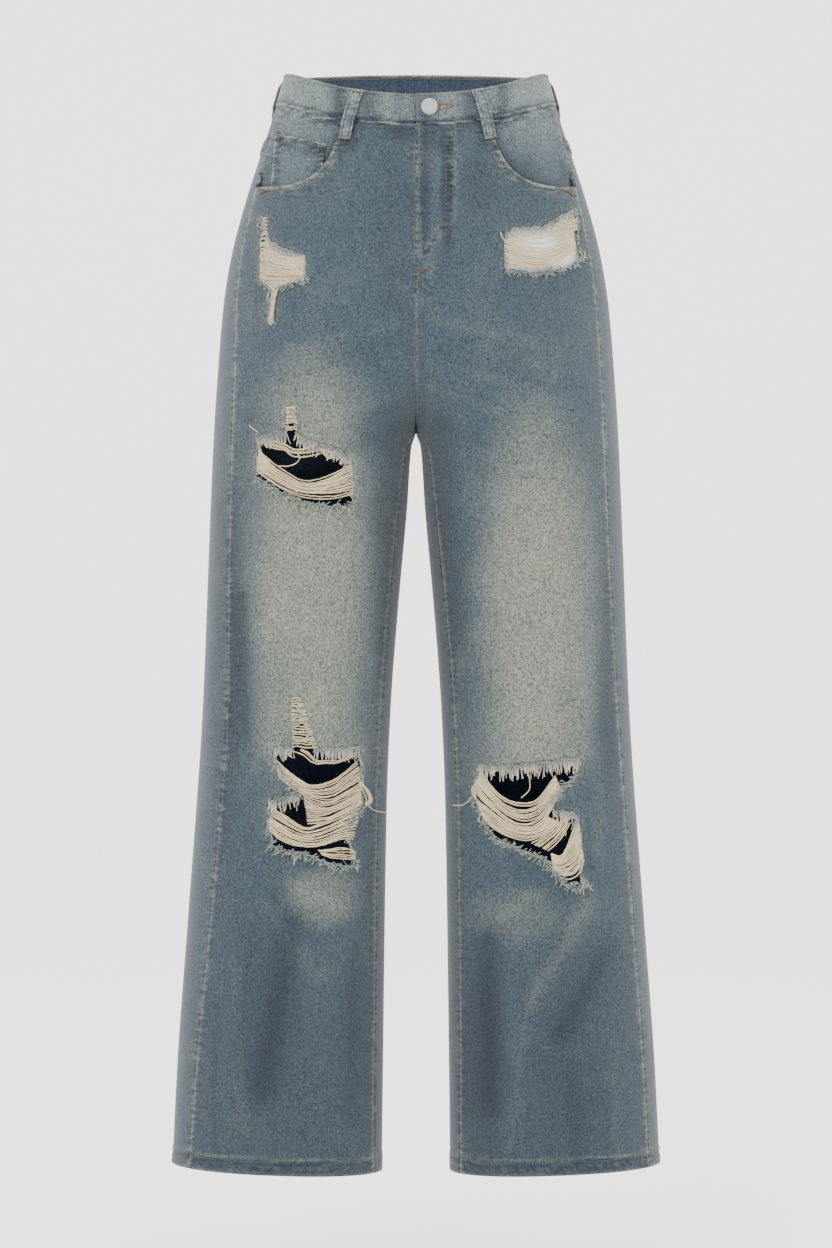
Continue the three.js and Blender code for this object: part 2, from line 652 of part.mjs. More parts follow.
// The tack's cap lies behind the band's lower end, and its post passes through to the upper end's hole.
function buttonTack() {
  const { radius, thickness, bevel, post } = BUTTON_TACK;
  const bandBack = BAND_PROUD - 2 * BAND_WALL - GAP;
  const capBack = bandBack - thickness;
  const top = BAND_PROUD - BAND_WALL - GAP;
  const profile = [
    [0, capBack], [radius - 1, capBack], [radius, capBack + bevel], [radius, bandBack - GAP],
    [post, bandBack - GAP], [post, top], [0, top],
  ];
  return turned(profile, 24);
}

// ---- The garment ----

for (const side of [1, -1]) {
  const name = sideName(side);
  addPiece(`front_${name}`, frontPanel(side), materials.denim);
  addPiece(`back_${name}`, backPanel(side), materials.denim);
  addPiece(`yoke_${name}`, yoke(side), materials.denim);
  addPiece(`back_pocket_${name}`, backPocket(side), materials.fadedDenim);
  addPiece(`pocket_facing_${name}`, pocketFacing(side), materials.fadedDenim);
  addPiece(`pocket_bag_${name}`, pocketBag(side), materials.pocketing);
}
addPiece("coin_pocket", coinPocket(), materials.fadedDenim);
addPiece("waistband", waistband(), materials.bandDenim);
addPiece("belt_loop_front_left", frontLoop(1), materials.bandDenim);
addPiece("belt_loop_front_right", frontLoop(-1), materials.bandDenim);
addPiece("belt_loop_side_left", sideLoop(1), materials.bandDenim);
addPiece("belt_loop_side_right", sideLoop(-1), materials.bandDenim);
addPiece("belt_loop_centre_back", centreBackLoop(), materials.bandDenim);
addPiece("fly_facing", flyStrip(FLY_FACING), materials.denim);
addPiece("fly_shield", flyStrip(FLY_SHIELD), materials.denim);
addPiece("zip_tape", flyStrip(ZIP_TAPE), materials.zipTape);
addPiece("zip_chain", zipChain(), materials.brass);
addPiece("button_head", buttonHead(), materials.nickel);
addPiece("button_tack", buttonTack(), materials.brass);

export default jeans;
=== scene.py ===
"""Ripped wide-leg jeans in their worn, hollow form: cloth, seams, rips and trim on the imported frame."""
import math

import bpy
import numpy as np
from bpy.props import FloatProperty, FloatVectorProperty, IntProperty, PointerProperty
from mathutils.geometry import delaunay_2d_cdt
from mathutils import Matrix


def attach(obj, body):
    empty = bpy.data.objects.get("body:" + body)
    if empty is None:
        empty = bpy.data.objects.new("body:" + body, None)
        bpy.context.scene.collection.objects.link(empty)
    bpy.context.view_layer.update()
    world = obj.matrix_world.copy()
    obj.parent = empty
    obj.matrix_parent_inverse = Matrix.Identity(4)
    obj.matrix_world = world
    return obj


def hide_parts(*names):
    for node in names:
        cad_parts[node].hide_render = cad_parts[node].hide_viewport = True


bl_info = {
    "name": "Ripped Jeans",
    "version": (1, 0, 0),
    "blender": (4, 5, 0),
    "location": "3D View > Sidebar > Jeans",
    "description": "Makes the cloth, seams, rips and trim of a pair of ripped jeans on their packed frame",
    "category": "Object",
}

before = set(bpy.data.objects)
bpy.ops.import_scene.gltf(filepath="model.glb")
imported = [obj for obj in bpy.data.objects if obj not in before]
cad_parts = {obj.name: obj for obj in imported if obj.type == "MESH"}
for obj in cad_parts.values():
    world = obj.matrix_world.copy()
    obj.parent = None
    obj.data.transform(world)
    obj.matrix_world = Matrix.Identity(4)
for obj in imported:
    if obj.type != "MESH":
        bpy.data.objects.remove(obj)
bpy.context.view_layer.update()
MM = 0.001


# ---- Colours ----

def linear(hex_colour):
    """An sRGB hex colour as linear red, green, blue."""
    parts = [int(hex_colour[i:i + 2], 16) / 255 for i in (1, 3, 5)]
    return tuple(c / 12.92 if c <= 0.04045 else ((c + 0.055) / 1.055) ** 2.4 for c in parts)


def shade(hex_colour):
    return (*linear(hex_colour), 1.0)


# ---- Sizes of the garment, in millimetres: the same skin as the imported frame's ----

GAP = 0.3
CENTRE_LAP = 0.25  # how far the cloth laps past the middle, so no light shows through the centre seams
BAND_TOP = 20.5
BAND_BOTTOM = -11.0
PANEL_TOP = -11.6
BAND_PROUD = 0.8
BAND_WALL = 3.0
UNDERLAP = 36.0
FRONT_DIP = 31.0
FRONT_DIP_POWER = 2.5
BACK_RISE = 15.0
BACK_RISE_POWER = 1.4
TILT_FADES_AT = -230.0
CROTCH = -338.0
FORK_STARTS = -195.0
HEM = -1063.0
HEM_HEIGHT = 14.0
HEM_DROP = 8.0
HEM_TILT_ENDS = HEM + 160
HEM_LINE = HEM + HEM_HEIGHT - HEM_DROP / 2  # the hem's upper edge, halfway across a leg
ROUNDNESS = 2.25
FACING_DEPTH = 4.5
FACING_LOW = -106.0
YOKE_AT_SIDE = -54.0
YOKE_AT_BACK = -92.0
LOOP_WIDTH = 11.0
LOOP_LOW = -30.0
FRONT_LOOPS = {"front_left": (59, 72.5), "front_right": (56, 69.5)}  # from the middle, at the top and the foot
SIDE_LOOP_ANGLE = 0.19
SIDE_RADIUS = 98
BACK_WIDTH = 330.0  # a back's usual width, for distances from its seams

OUTER_SIDE = (
    (-1100, 246), (-1063, 243.5), (-960, 238.2), (-810, 227.1), (-610, 213.1), (-410, 205.2), (-338, 202),
    (-290, 199), (-210, 192.5), (-160, 184.5), (-110, 171.5), (-60, 155.5), (-15, 141), (20, 131), (40, 127))
INNER_SIDE = (
    (-1100, 34.5), (-1063, 34), (-710, 29.1), (-610, 25.1), (-510, 17.6), (-410, 8.7), (-350, 4.5),
    (-338, 0.3))
FRONT_DEPTH = (
    (-1100, 76), (-1063, 76), (-760, 78), (-610, 82), (-510, 88), (-410, 94), (-338, 98), (-210, 106),
    (-110, 104), (20, 92), (40, 89))
BACK_DEPTH = (
    (-1100, 83), (-1063, 83), (-760, 85), (-610, 89), (-510, 96), (-410, 104), (-338, 112), (-250, 126),
    (-190, 130), (-110, 121), (-60, 110), (20, 91), (40, 84))
OUTSEAM_STRIP = {
    1: ((-1063, 13), (-700, 13), (-380, 17), (-155, 12), (-95, 8), (-40, 5), (20, 4)),
    -1: ((-1063, 19), (-820, 25), (-650, 28), (-450, 23), (-320, 21), (-155, 11), (-95, 8), (-40, 5), (20, 4))}
INSEAM_STRIP = {
    1: ((-1063, 10), (-600, 12), (-450, 11), (-360, 7), (-338, 0.1)),
    -1: ((-1063, 8), (-600, 9), (-450, 9), (-360, 5), (-338, 0.1))}

# Folds as (side, face, from x, from z, to x, to z, half width, height). Side 1 is the wearer's left; face -1
# is the front. The first group is the imported frame's own, the second is finer and only in the cloth here.
# Each raised fold or crease also gets a highlight painted along it, and each sunken one painted shade.
FOLDS = (
    (-1, -1, 146, -480, 144, -650, 17, 4), (-1, -1, 168, -500, 166, -640, 10, -4),
    (-1, -1, 120, -820, 150, -980, 24, -5), (1, -1, 162, -560, 164, -650, 14, 4),
    (1, -1, 168, -800, 112, -900, 15, 5), (1, -1, 185, -850, 140, -930, 18, -4),
    (1, -1, 70, -830, 74, -1000, 18, -4), (-1, 1, 60, -350, 160, -390, 20, -5),
    (1, 1, 60, -352, 165, -395, 20, -5), (-1, 1, 60, -600, 175, -640, 22, 5),
    (1, 1, 65, -610, 180, -655, 22, 5), (-1, 1, 75, -680, 165, -700, 20, -5),
    (1, 1, 75, -690, 170, -712, 20, -5),
)
CREASES = (
    (-1, -1, 18, -235, 120, -262, 7, 1.6), (-1, -1, 24, -256, 130, -290, 7, -1.8),
    (-1, -1, 12, -300, 90, -330, 8, 1.6), (1, -1, 18, -232, 110, -255, 7, 1.6),
    (1, -1, 24, -262, 140, -300, 8, -2.0), (1, -1, 14, -296, 84, -322, 8, 1.5),
    (1, -1, 10, -322, 70, -352, 9, -1.8), (-1, -1, 10, -330, 74, -360, 9, -1.8),
    (-1, -1, 150, -800, 96, -870, 12, 2.4), (-1, -1, 60, -840, 66, -1010, 13, -2.2),
    (-1, -1, 178, -860, 170, -1020, 12, 2.2), (-1, -1, 196, -900, 196, -1040, 9, -1.8),
    (1, -1, 104, -920, 92, -1040, 12, 2.4), (1, -1, 150, -960, 158, -1050, 13, -2.2),
    (1, -1, 192, -960, 196, -1050, 10, 2.0), (1, -1, 44, -560, 40, -660, 9, 1.8),
    (-1, -1, 44, -560, 40, -640, 9, 1.6), (1, -1, 120, -790, 62, -828, 11, 2.6),
    (-1, -1, 126, -780, 70, -812, 11, 2.4), (1, -1, 180, -690, 178, -770, 9, 2.2),
    (-1, 1, 30, -372, 120, -420, 11, -3), (1, 1, 30, -374, 120, -424, 11, -3),
    (-1, 1, 20, -340, 130, -356, 9, 2.6), (1, 1, 20, -342, 130, -360, 9, 2.6),
    (-1, 1, 50, -560, 160, -585, 13, -2.6), (1, 1, 54, -566, 166, -596, 13, -2.6),
    (-1, 1, 80, -650, 170, -668, 10, 2.6), (1, 1, 80, -655, 172, -676, 10, 2.6),
    (-1, 1, 90, -800, 160, -900, 16, 3), (1, 1, 96, -810, 170, -905, 16, 3),
    (-1, 1, 60, -860, 64, -1030, 14, -2.6), (1, 1, 60, -870, 66, -1030, 14, -2.6),
    (-1, 1, 170, -880, 180, -1040, 14, -2.6), (1, 1, 175, -880, 186, -1040, 14, -2.6),
    (-1, 1, 120, -940, 126, -1050, 13, 2.4), (1, 1, 122, -930, 132, -1050, 13, 2.4),
)

POCKET_MOUTH = ((72, -30), (73, -40), (78, -58), (87, -77), (102, -91), (120, -97), (140, -98), (160, -95))
COIN_POCKET = {"high": -37.5, "low": -97.0, "inner": (89, 97), "outer": (139, 146)}
BACK_POCKET = ((40, -120), (150, -106), (50, -248), (98, -268), (146, -236))

# Holes worn through the fronts, as (x from the middle, z) round each.
RIPS = {
    "hip_left": (1, (
        (86, -152), (93, -142), (123, -139), (140, -128), (156, -117), (160, -124), (160, -152), (165, -164),
        (158, -171), (146, -179), (115, -185), (88, -182))),
    "knee_left": (1, (
        (63, -666), (102, -665), (130, -661), (161, -657), (157, -673), (144, -686), (132, -702), (134, -709),
        (155, -711), (160, -717), (161, -737), (163, -754), (161, -771), (170, -783), (160, -785), (145, -781),
        (136, -769), (124, -756), (102, -747), (79, -738), (71, -729), (60, -708), (55, -690), (60, -669))),
    "hip_right": (-1, (
        (148, -127), (144, -150), (130, -160), (108, -167), (107, -190), (123, -195), (137, -198), (139, -230),
        (144, -230), (145, -197), (154, -189), (153, -155), (152, -127))),
    "thigh_right": (-1, (
        (155, -345), (139, -343), (126, -339), (125, -318), (118, -318), (115, -343), (97, -351), (84, -354),
        (63, -366), (61, -401), (62, -413), (107, -410), (134, -398), (156, -382))),
    "knee_right": (-1, (
        (139, -647), (122, -647), (118, -615), (115, -598), (109, -614), (99, -647), (74, -649), (54, -647),
        (52, -684), (52, -706), (65, -720), (67, -731), (60, -753), (60, -766), (87, -761), (100, -755),
        (126, -749), (140, -743), (145, -726), (144, -699), (114, -693), (139, -661))),
}


# ---- The skin ----

def along(stations, z):
    """A smooth value between stations of (height, value), with no overshoot."""
    heights, values = np.array(stations, float).T
    slope = np.diff(values) / np.diff(heights)
    both = slope[:-1] * slope[1:]
    total = np.where(both > 0, slope[:-1] + slope[1:], 1)
    tangent = np.concatenate([slope[:1], np.where(both > 0, 2 * both / total, 0), slope[-1:]])
    i = np.clip(np.searchsorted(heights, z) - 1, 0, len(heights) - 2)
    step = heights[i + 1] - heights[i]
    t = np.clip((z - heights[i]) / step, 0, 1)
    return ((1 + 2 * t) * (1 - t) ** 2 * values[i] + t * (1 - t) ** 2 * step * tangent[i]
            + t * t * (3 - 2 * t) * values[i + 1] + t * t * (t - 1) * step * tangent[i + 1])


def smooth(x, low, high):
    t = np.clip((x - low) / (high - low), 0, 1)
    return t * t * (3 - 2 * t)


def bell(distance, width):
    return np.exp(-(distance / width) ** 2)


def fade(distance, reach):
    return np.exp(-distance / reach)


def power(value, exponent):
    return np.sign(value) * np.abs(value) ** exponent


def section(z):
    """The middle and half width of one side's section, and its inner and outer sides."""
    outer = along(OUTER_SIDE, z)
    inner = along(INNER_SIDE, np.minimum(z, CROTCH))
    centre = (1 - smooth(z, CROTCH, FORK_STARTS)) * (outer + inner) / 2
    return centre, outer - centre, inner, outer


def tilt(level, across, forward):
    at_waist = smooth(level, TILT_FADES_AT, BAND_BOTTOM)
    at_hem = 1 - smooth(level, HEM, HEM_TILT_ENDS)
    size = np.abs(forward)
    waist = np.where(forward < 0, -FRONT_DIP * size ** FRONT_DIP_POWER, BACK_RISE * size ** BACK_RISE_POWER)
    return waist * at_waist - HEM_DROP * at_hem * (1 - across) / 2


def near_line(x, z, x0, z0, x1, z1):
    """Each point's distance from a straight line between two ends."""
    dx, dz = x1 - x0, z1 - z0
    t = np.clip(((x - x0) * dx + (z - z0) * dz) / (dx * dx + dz * dz), 0, 1)
    return np.hypot(x - x0 - t * dx, z - z0 - t * dz)


def near_path(x, z, points):
    return np.min([near_line(x, z, *a, *b) for a, b in zip(points[:-1], points[1:])], axis=0)


def relief(side, face, x, z):
    height = np.zeros(np.broadcast(x, z).shape)
    for fold in FOLDS + CREASES:
        if fold[:2] == (side, face):
            height = height + fold[7] * bell(near_line(x, z, *fold[2:6]), fold[6])
    return height


def face_y(side, face, x, z):
    """How far forward or back the skin is at (x, z)."""
    centre, half, _, _ = section(z)
    across = np.minimum(np.abs((x - centre) / half), 1)
    forward = (1 - across ** ROUNDNESS) ** (1 / ROUNDNESS)
    depth = along(FRONT_DEPTH if face < 0 else BACK_DEPTH, z)
    return face * forward * (depth + relief(side, face, x, z))


def on_face(side, face, x, z, out=0.0):
    """Points on the front or back at (x, z), lifted off it by out."""
    x, z = np.broadcast_arrays(np.asarray(x, float), np.asarray(z, float))
    slope_x = (face_y(side, face, x + 1, z) - face_y(side, face, x - 1, z)) / 2
    slope_z = (face_y(side, face, x, z + 1) - face_y(side, face, x, z - 1)) / 2
    normal = np.stack([-slope_x, np.ones_like(x), -slope_z], -1) * face
    normal /= np.linalg.norm(normal, axis=-1, keepdims=True)
    points = np.stack([x, face_y(side, face, x, z), z], -1) + normal * np.asarray(out)[..., None]
    points[..., 0] *= side
    return points


def skin(side, level, angle):
    """Points at a level and an angle round the leg: 0 at the outer side, negative in front."""
    across = power(np.cos(angle), 2 / ROUNDNESS)
    forward = power(np.sin(angle), 2 / ROUNDNESS)
    z = level + tilt(level, across, forward)
    centre, half, _, _ = section(z)
    x = centre + half * across
    ahead = forward < 0
    depth = np.where(ahead, along(FRONT_DEPTH, z), along(BACK_DEPTH, z))
    lift = np.where(ahead, relief(side, -1, x, z), relief(side, 1, x, z))
    return np.stack(np.broadcast_arrays(side * x, forward * (depth + lift), z), -1)


def angle_at(level, x, face):
    """The angle where the skin at a level is x from the middle."""
    angle = np.full(np.broadcast(level, x).shape, face * math.pi / 2)
    for _ in range(8):
        across = power(np.cos(angle), 2 / ROUNDNESS)
        z = level + tilt(level, across, power(np.sin(angle), 2 / ROUNDNESS))
        centre, half, _, _ = section(z)
        angle = face * np.arccos(power(np.clip((x - centre) / half, -1, 1), ROUNDNESS / 2))
    return angle


def outseam_x(side, level):
    return section(level)[3] - along(OUTSEAM_STRIP[side], level)


def inner_x(side, level):
    """The front's inner edge: the centre front down to the crotch, then the inseam."""
    below = section(level)[2] + along(INSEAM_STRIP[side], level)
    return np.where(level > CROTCH, -CENTRE_LAP, below)


def outseam_angle(side, level):
    return angle_at(level, outseam_x(side, level), -1)


def back_inner_angle(side, level):
    below = angle_at(level, inner_x(side, level), -1) + 2 * math.pi
    return np.where(level > CROTCH, angle_at(level, np.full_like(level, -CENTRE_LAP), 1), below)


def level_height(level, x, face):
    """The height of the skin at a level and x from the middle."""
    angle = angle_at(level, x, face)
    across, forward = power(np.cos(angle), 2 / ROUNDNESS), power(np.sin(angle), 2 / ROUNDNESS)
    return level + tilt(level, across, forward)


# ---- Nodes and materials ----

def node(tree, kind, settings=None, wires=None):
    """A node with its settings, and each named input given a value or joined to another node's output."""
    made = tree.nodes.new(kind)
    made.location = (190 * len(tree.nodes), 0)
    for key, value in (settings or {}).items():
        setattr(made, key, value)
    for key, value in (wires or {}).items():
        if isinstance(value, bpy.types.NodeSocket):
            tree.links.new(value, made.inputs[key])
        else:
            made.inputs[key].default_value = value
    return made


def bare_material(name, **surface):
    """A material with only its shader, and constants on the shader's own sockets."""
    material = bpy.data.materials.new(name)
    material.use_nodes = True
    tree = material.node_tree
    tree.nodes.clear()
    shader = node(tree, "ShaderNodeBsdfPrincipled", wires=surface)
    node(tree, "ShaderNodeOutputMaterial", wires={"Surface": shader.outputs[0]})
    return material, tree, shader


def scaled_noise(tree, place, size_mm, detail=2.0, stretch=(1, 1, 1), roughness=0.5):
    """Noise whose grains are about size_mm across, drawn longer along an axis by its stretch."""
    density = [1000 / size_mm / s for s in stretch]
    mapped = node(tree, "ShaderNodeMapping", wires={"Vector": place, "Scale": density})
    return node(tree, "ShaderNodeTexNoise", wires={
        "Vector": mapped.outputs[0], "Scale": 1.0, "Detail": detail, "Roughness": roughness}).outputs["Fac"]


def curve(tree, value, points):
    """A value remapped by straight pieces between (position, value) points."""
    ramp = node(tree, "ShaderNodeValToRGB", wires={"Fac": value})
    while len(ramp.color_ramp.elements) < len(points):
        ramp.color_ramp.elements.new(0.5)
    for stop, (position, level) in zip(ramp.color_ramp.elements, points):
        stop.position = position
        stop.color = (level, level, level, 1)
    return ramp.outputs[0]


def math_of(tree, operation, a, b, clamp=False):
    return node(tree, "ShaderNodeMath", {"operation": operation, "use_clamp": clamp}, {0: a, 1: b}).outputs[0]


def total(tree, a, b, clamp=False):
    return math_of(tree, "ADD", a, b, clamp)


def product(tree, a, b):
    return math_of(tree, "MULTIPLY", a, b)


def swing(tree, value, amount):
    """A value from 0 to 1, made to swing by an amount to either side of nothing."""
    return product(tree, math_of(tree, "SUBTRACT", value, 0.5), amount)


def object_place(tree):
    return node(tree, "ShaderNodeTexCoord").outputs["Object"]


def from_mesh(tree, name):
    return node(tree, "ShaderNodeAttribute", {"attribute_name": name}).outputs["Fac"]


def paint(tree, shader, colour, value):
    """Gives the shader a colour, made lighter or darker by value."""
    tint = node(tree, "ShaderNodeHueSaturation", wires={"Value": value, "Color": colour})
    tree.links.new(tint.outputs[0], shader.inputs["Base Color"])


def emboss(tree, shader, strength, distance, height):
    bump = node(tree, "ShaderNodeBump", wires={"Strength": strength, "Distance": distance, "Height": height})
    tree.links.new(bump.outputs[0], shader.inputs["Normal"])


def blend_of(tree, amount, a, b):
    wires = {"Factor": amount, 6: a, 7: b}
    return node(tree, "ShaderNodeMix", {"data_type": "RGBA"}, wires).outputs[2]


def denim_material(name, face, faded, shade_and_dark_dye, strength=1.0):
    """Washed indigo denim twill. The dyed warp lies on the face and the light weft shows where it has faded, so
    the colour goes from slate blue to a warm grey, with salt-and-pepper grain, upright slubs and rough matt
    light. The mesh says where it has faded or has a painted highlight, where it has painted shade or darker dye,
    and where a seam puckers it (seam)."""
    material, tree, shader = bare_material(name, **{
        "Roughness": 0.92, "Sheen Weight": 0.12, "Sheen Roughness": 0.6, "Specular IOR Level": 0.25})
    place = object_place(tree)
    # the mesh's wear with painted highlights on ridges, then its painted shade with darker dye
    wear_and_highlight = from_mesh(tree, "wear_and_highlight")
    shade_and_dye_amount = from_mesh(tree, "shade_and_dark_dye")
    seam = from_mesh(tree, "seam")
    clouds = scaled_noise(tree, place, 46, 3)
    streaks = scaled_noise(tree, place, 7, 3, (1, 1, 2.5))
    slubs = scaled_noise(tree, place, 1.7, 2, (1, 1, 7))
    grain = scaled_noise(tree, place, 2.1, 2, roughness=0.75)  # drawn coarse, as one yarn is 0.5 mm
    puckers = scaled_noise(tree, place, 3.4, 1, (4, 4, 1))
    twill = node(tree, "ShaderNodeTexWave", {"bands_direction": "DIAGONAL"}, {
        "Vector": place, "Scale": 420.0, "Distortion": 1.5, "Detail": 1.0}).outputs["Fac"]  # 1.5 mm ridges
    # worn areas: soft clouds break their edge, and the upright warp shows as streaks
    uneven = swing(tree, clouds, 0.35)
    streaky = swing(tree, streaks, 0.16)
    worn_and_highlit = total(tree, total(tree, wear_and_highlight, uneven), streaky)
    # seam puckers: ridges fade lighter, troughs are painted darker, partly as shade and partly as dye kept in them
    creased = product(tree, seam, curve(tree, puckers, [(0.40, 1), (0.56, 0)]))
    ridged = product(tree, seam, curve(tree, puckers, [(0.50, 0), (0.66, 1)]))
    worn_and_highlit = total(tree, worn_and_highlit, product(tree, ridged, 0.25), True)
    shaded = total(tree, shade_and_dye_amount, product(tree, creased, 0.95), True)
    colour = blend_of(tree, worn_and_highlit, shade(face), shade(faded))
    colour = blend_of(tree, shaded, colour, shade(shade_and_dark_dye))
    speckle = curve(tree, grain, [(0.28, 0.0), (0.72, 1.0)])
    speckle = swing(tree, speckle, 1.5 * strength)
    fibre = swing(tree, slubs, 0.5 * strength)
    rib = swing(tree, twill, 0.10 * strength)
    value = total(tree, total(tree, speckle, fibre), total(tree, rib, 1.0))
    paint(tree, shader, colour, value)
    height = total(tree, product(tree, twill, 0.25), product(tree, grain, 0.5))
    height = total(tree, height, product(tree, product(tree, seam, puckers), 5.0))
    emboss(tree, shader, 0.55, 0.0006, height)
    return material


def yarn_material(name, root, tip, roughness=0.9):
    """Loose spun cotton yarn, matt and slightly hairy: its colour goes from root to tip by the mesh's tip
    attribute, and small grains stand for the twist."""
    material, tree, shader = bare_material(name, **{"Roughness": roughness, "Sheen Weight": 0.2})
    place = object_place(tree)
    tipped = from_mesh(tree, "tip")
    patches = scaled_noise(tree, place, 14, 2)
    amount = total(tree, tipped, swing(tree, patches, 1.1))
    colour = blend_of(tree, math_of(tree, "MAXIMUM", amount, 0.0, True), shade(root), shade(tip))
    value = total(tree, product(tree, scaled_noise(tree, place, 0.9, 1), 0.5), 0.75)
    paint(tree, shader, colour, value)
    return material


def plain_cloth_material(name, colour, weave_mm, contrast=0.18):
    """Plain-woven cotton, matt: a fine square weave, drawn at weave_mm, and faint soft creases, as bumps and as painted
    light and shade.
    """
    material, tree, shader = bare_material(name, **{"Roughness": 0.88, "Sheen Weight": 0.1})
    place = object_place(tree)
    weave = scaled_noise(tree, place, weave_mm, 1)
    soft = scaled_noise(tree, place, 24, 2)
    # the soft noise paints the creases' light and shade into the colour, with the weave
    both = total(tree, product(tree, weave, contrast), product(tree, soft, contrast))
    value = total(tree, both, 1 - contrast)
    paint(tree, shader, shade(colour), value)
    emboss(tree, shader, 0.4, 0.0004, both)
    return material


def metal_material(name, colour, roughness, grit_mm, metallic=1.0):
    """Plated or blackened pressed metal: bare metal colour, clouded by handling and lightly scratched."""
    material, tree, shader = bare_material(name, **{"Metallic": metallic})
    place = object_place(tree)
    cloud = scaled_noise(tree, place, grit_mm * 6, 2)
    fine = scaled_noise(tree, place, grit_mm, 2)
    value = total(tree, product(tree, cloud, 0.4), 0.8)
    paint(tree, shader, shade(colour), value)
    rough = total(tree, product(tree, fine, 0.25), roughness - 0.12)
    tree.links.new(rough, shader.inputs["Roughness"])
    emboss(tree, shader, 0.25, 0.0002, fine)
    return material


MAKERS = {
    "denim": lambda: denim_material("washed denim twill, face", "#26323A", "#5C6056", "#0F1722"),
    # The back of the cloth is dark navy: the band's inside is this dark, and on the legs this dark stands in for the
    # lighter weft side of real denim as painted shade inside them.
    "denim_inside_painted_dark": lambda: denim_material("washed denim twill, back", "#243044", "#37434F", "#141C29", 0.8),
    "band_denim": lambda: denim_material("washed denim twill, band", "#2F3C44", "#5F6762", "#101928"),
    "facing_denim": lambda: denim_material("washed denim twill, facing", "#29353D", "#596360", "#0E1724"),
    "frayed_yarn": lambda: yarn_material("frayed warp yarn, blue to cream", "#34434E", "#A69C88"),
    "fluffy_yarn": lambda: yarn_material("frayed yarn, grey green", "#404D54", "#80857A"),
    "weft_yarn": lambda: yarn_material("undyed weft yarn", "#A59474", "#CDBE9E"),
    "tan_thread": lambda: yarn_material("tan sewing thread", "#5A4028", "#7A5A36", 0.7),
    "navy_thread": lambda: yarn_material("navy sewing thread", "#18212D", "#27323F", 0.7),
    "slate_thread": lambda: yarn_material("faded slate sewing thread", "#141C27", "#303B45", 0.7),
    "pocketing": lambda: plain_cloth_material("white cotton pocketing", "#DEDDD6", 1.2),
    "zip_tape": lambda: plain_cloth_material("navy woven zip tape", "#2F3A46", 1.0, 0.3),
    "brass": lambda: metal_material("antique brass", "#8F6B3E", 0.45, 0.6),
    "button": lambda: metal_material("satin grey enamelled button", "#7F8480", 0.5, 0.8, 0.35),
}


def material(key):
    """One of the finishes above, made once."""
    found = [m for m in bpy.data.materials if m.get("finish") == key]
    if found:
        return found[0]
    made = MAKERS[key]()
    made["finish"] = key
    return made


# ---- Making meshes ----

def mesh_object(name, points, faces, materials, attributes=None):
    """A piece from points in millimetres. attributes are named numbers for each point."""
    mesh = bpy.data.meshes.new(name)
    mesh.from_pydata((np.asarray(points) * MM).tolist(), [], np.asarray(faces).tolist())
    for key, values in (attributes or {}).items():
        mesh.attributes.new(key, "FLOAT", "POINT").data.foreach_set("value", np.asarray(values, np.float32))
    mesh.shade_smooth()
    for key in materials:
        mesh.materials.append(material(key))
    piece = bpy.data.objects.new(name, mesh)
    bpy.context.collection.objects.link(piece)
    return piece


def line_object(name, lines, attributes=None):
    """Separate open lines of points in millimetres, as a mesh of edges for a node tree to work on."""
    mesh = bpy.data.meshes.new(name)
    points = np.concatenate(lines) * MM
    edges = []
    start = 0
    for line in lines:
        edges += [(start + i, start + i + 1) for i in range(len(line) - 1)]
        start += len(line)
    mesh.from_pydata(points.tolist(), edges, [])
    for key, values in (attributes or {}).items():
        values = np.concatenate(values)
        if values.ndim == 2:
            mesh.attributes.new(key, "FLOAT_VECTOR", "POINT").data.foreach_set("vector", values.ravel())
        else:
            mesh.attributes.new(key, "FLOAT", "POINT").data.foreach_set("value", values)
    piece = bpy.data.objects.new(name, mesh)
    bpy.context.collection.objects.link(piece)
    return piece


def thicken(piece, thickness):
    """Gives a sheet its thickness, inwards from the face. The back and the raw edges take the next slots."""
    wall = piece.modifiers.new("cloth thickness", "SOLIDIFY")
    wall.thickness = thickness * MM
    wall.offset = -1
    wall.use_even_offset = False
    wall.material_offset = 1 if len(piece.data.materials) > 1 else 0
    wall.material_offset_rim = 2 if len(piece.data.materials) > 2 else 0
    return piece


def stands_for(piece, name):
    """Puts a piece of denim in the place of the frame's node of that name."""
    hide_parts(name)
    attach(piece, "root")
    return piece


def sided(stem, side):
    return stem + ("_left" if side > 0 else "_right")


def grid_faces(rows, columns, flip):
    index = np.arange(rows * columns).reshape(rows, columns)
    corners = [index[:-1, :-1], index[:-1, 1:], index[1:, 1:], index[1:, :-1]]
    if flip:
        corners.reverse()
    return np.stack([c.ravel() for c in corners], -1)


def lifted(grid, out, middle):
    """A grid of skin points moved out along its own normals, and whether its faces must be turned. Middle is
    the x that the cloth goes round."""
    across = np.gradient(grid, axis=1)
    down = np.gradient(grid, axis=0)
    normal = np.cross(across, down)
    normal /= np.maximum(np.linalg.norm(normal, axis=-1, keepdims=True), 1e-9)
    outward = grid - np.array([middle, 0, 0])
    outward[..., 2] = 0
    turned = np.sum(normal * outward) < 0
    if turned:
        normal = -normal
    return grid + normal * np.broadcast_to(out, grid.shape[:2])[..., None], bool(turned)


def cloth_grid(name, grid, out, thickness, face, attributes, middle):
    """Cloth on a grid of skin points, with a denim face, in place of the node of that name."""
    points, turned = lifted(grid, out, middle)
    rows, columns = grid.shape[:2]
    flat = {key: np.broadcast_to(v, grid.shape[:2]).ravel() for key, v in attributes.items()}
    faces = grid_faces(rows, columns, turned)
    piece = mesh_object(name + "_cloth", points.reshape(-1, 3), faces, [face, "denim_inside_painted_dark"], flat)
    return stands_for(thicken(piece, thickness), name)
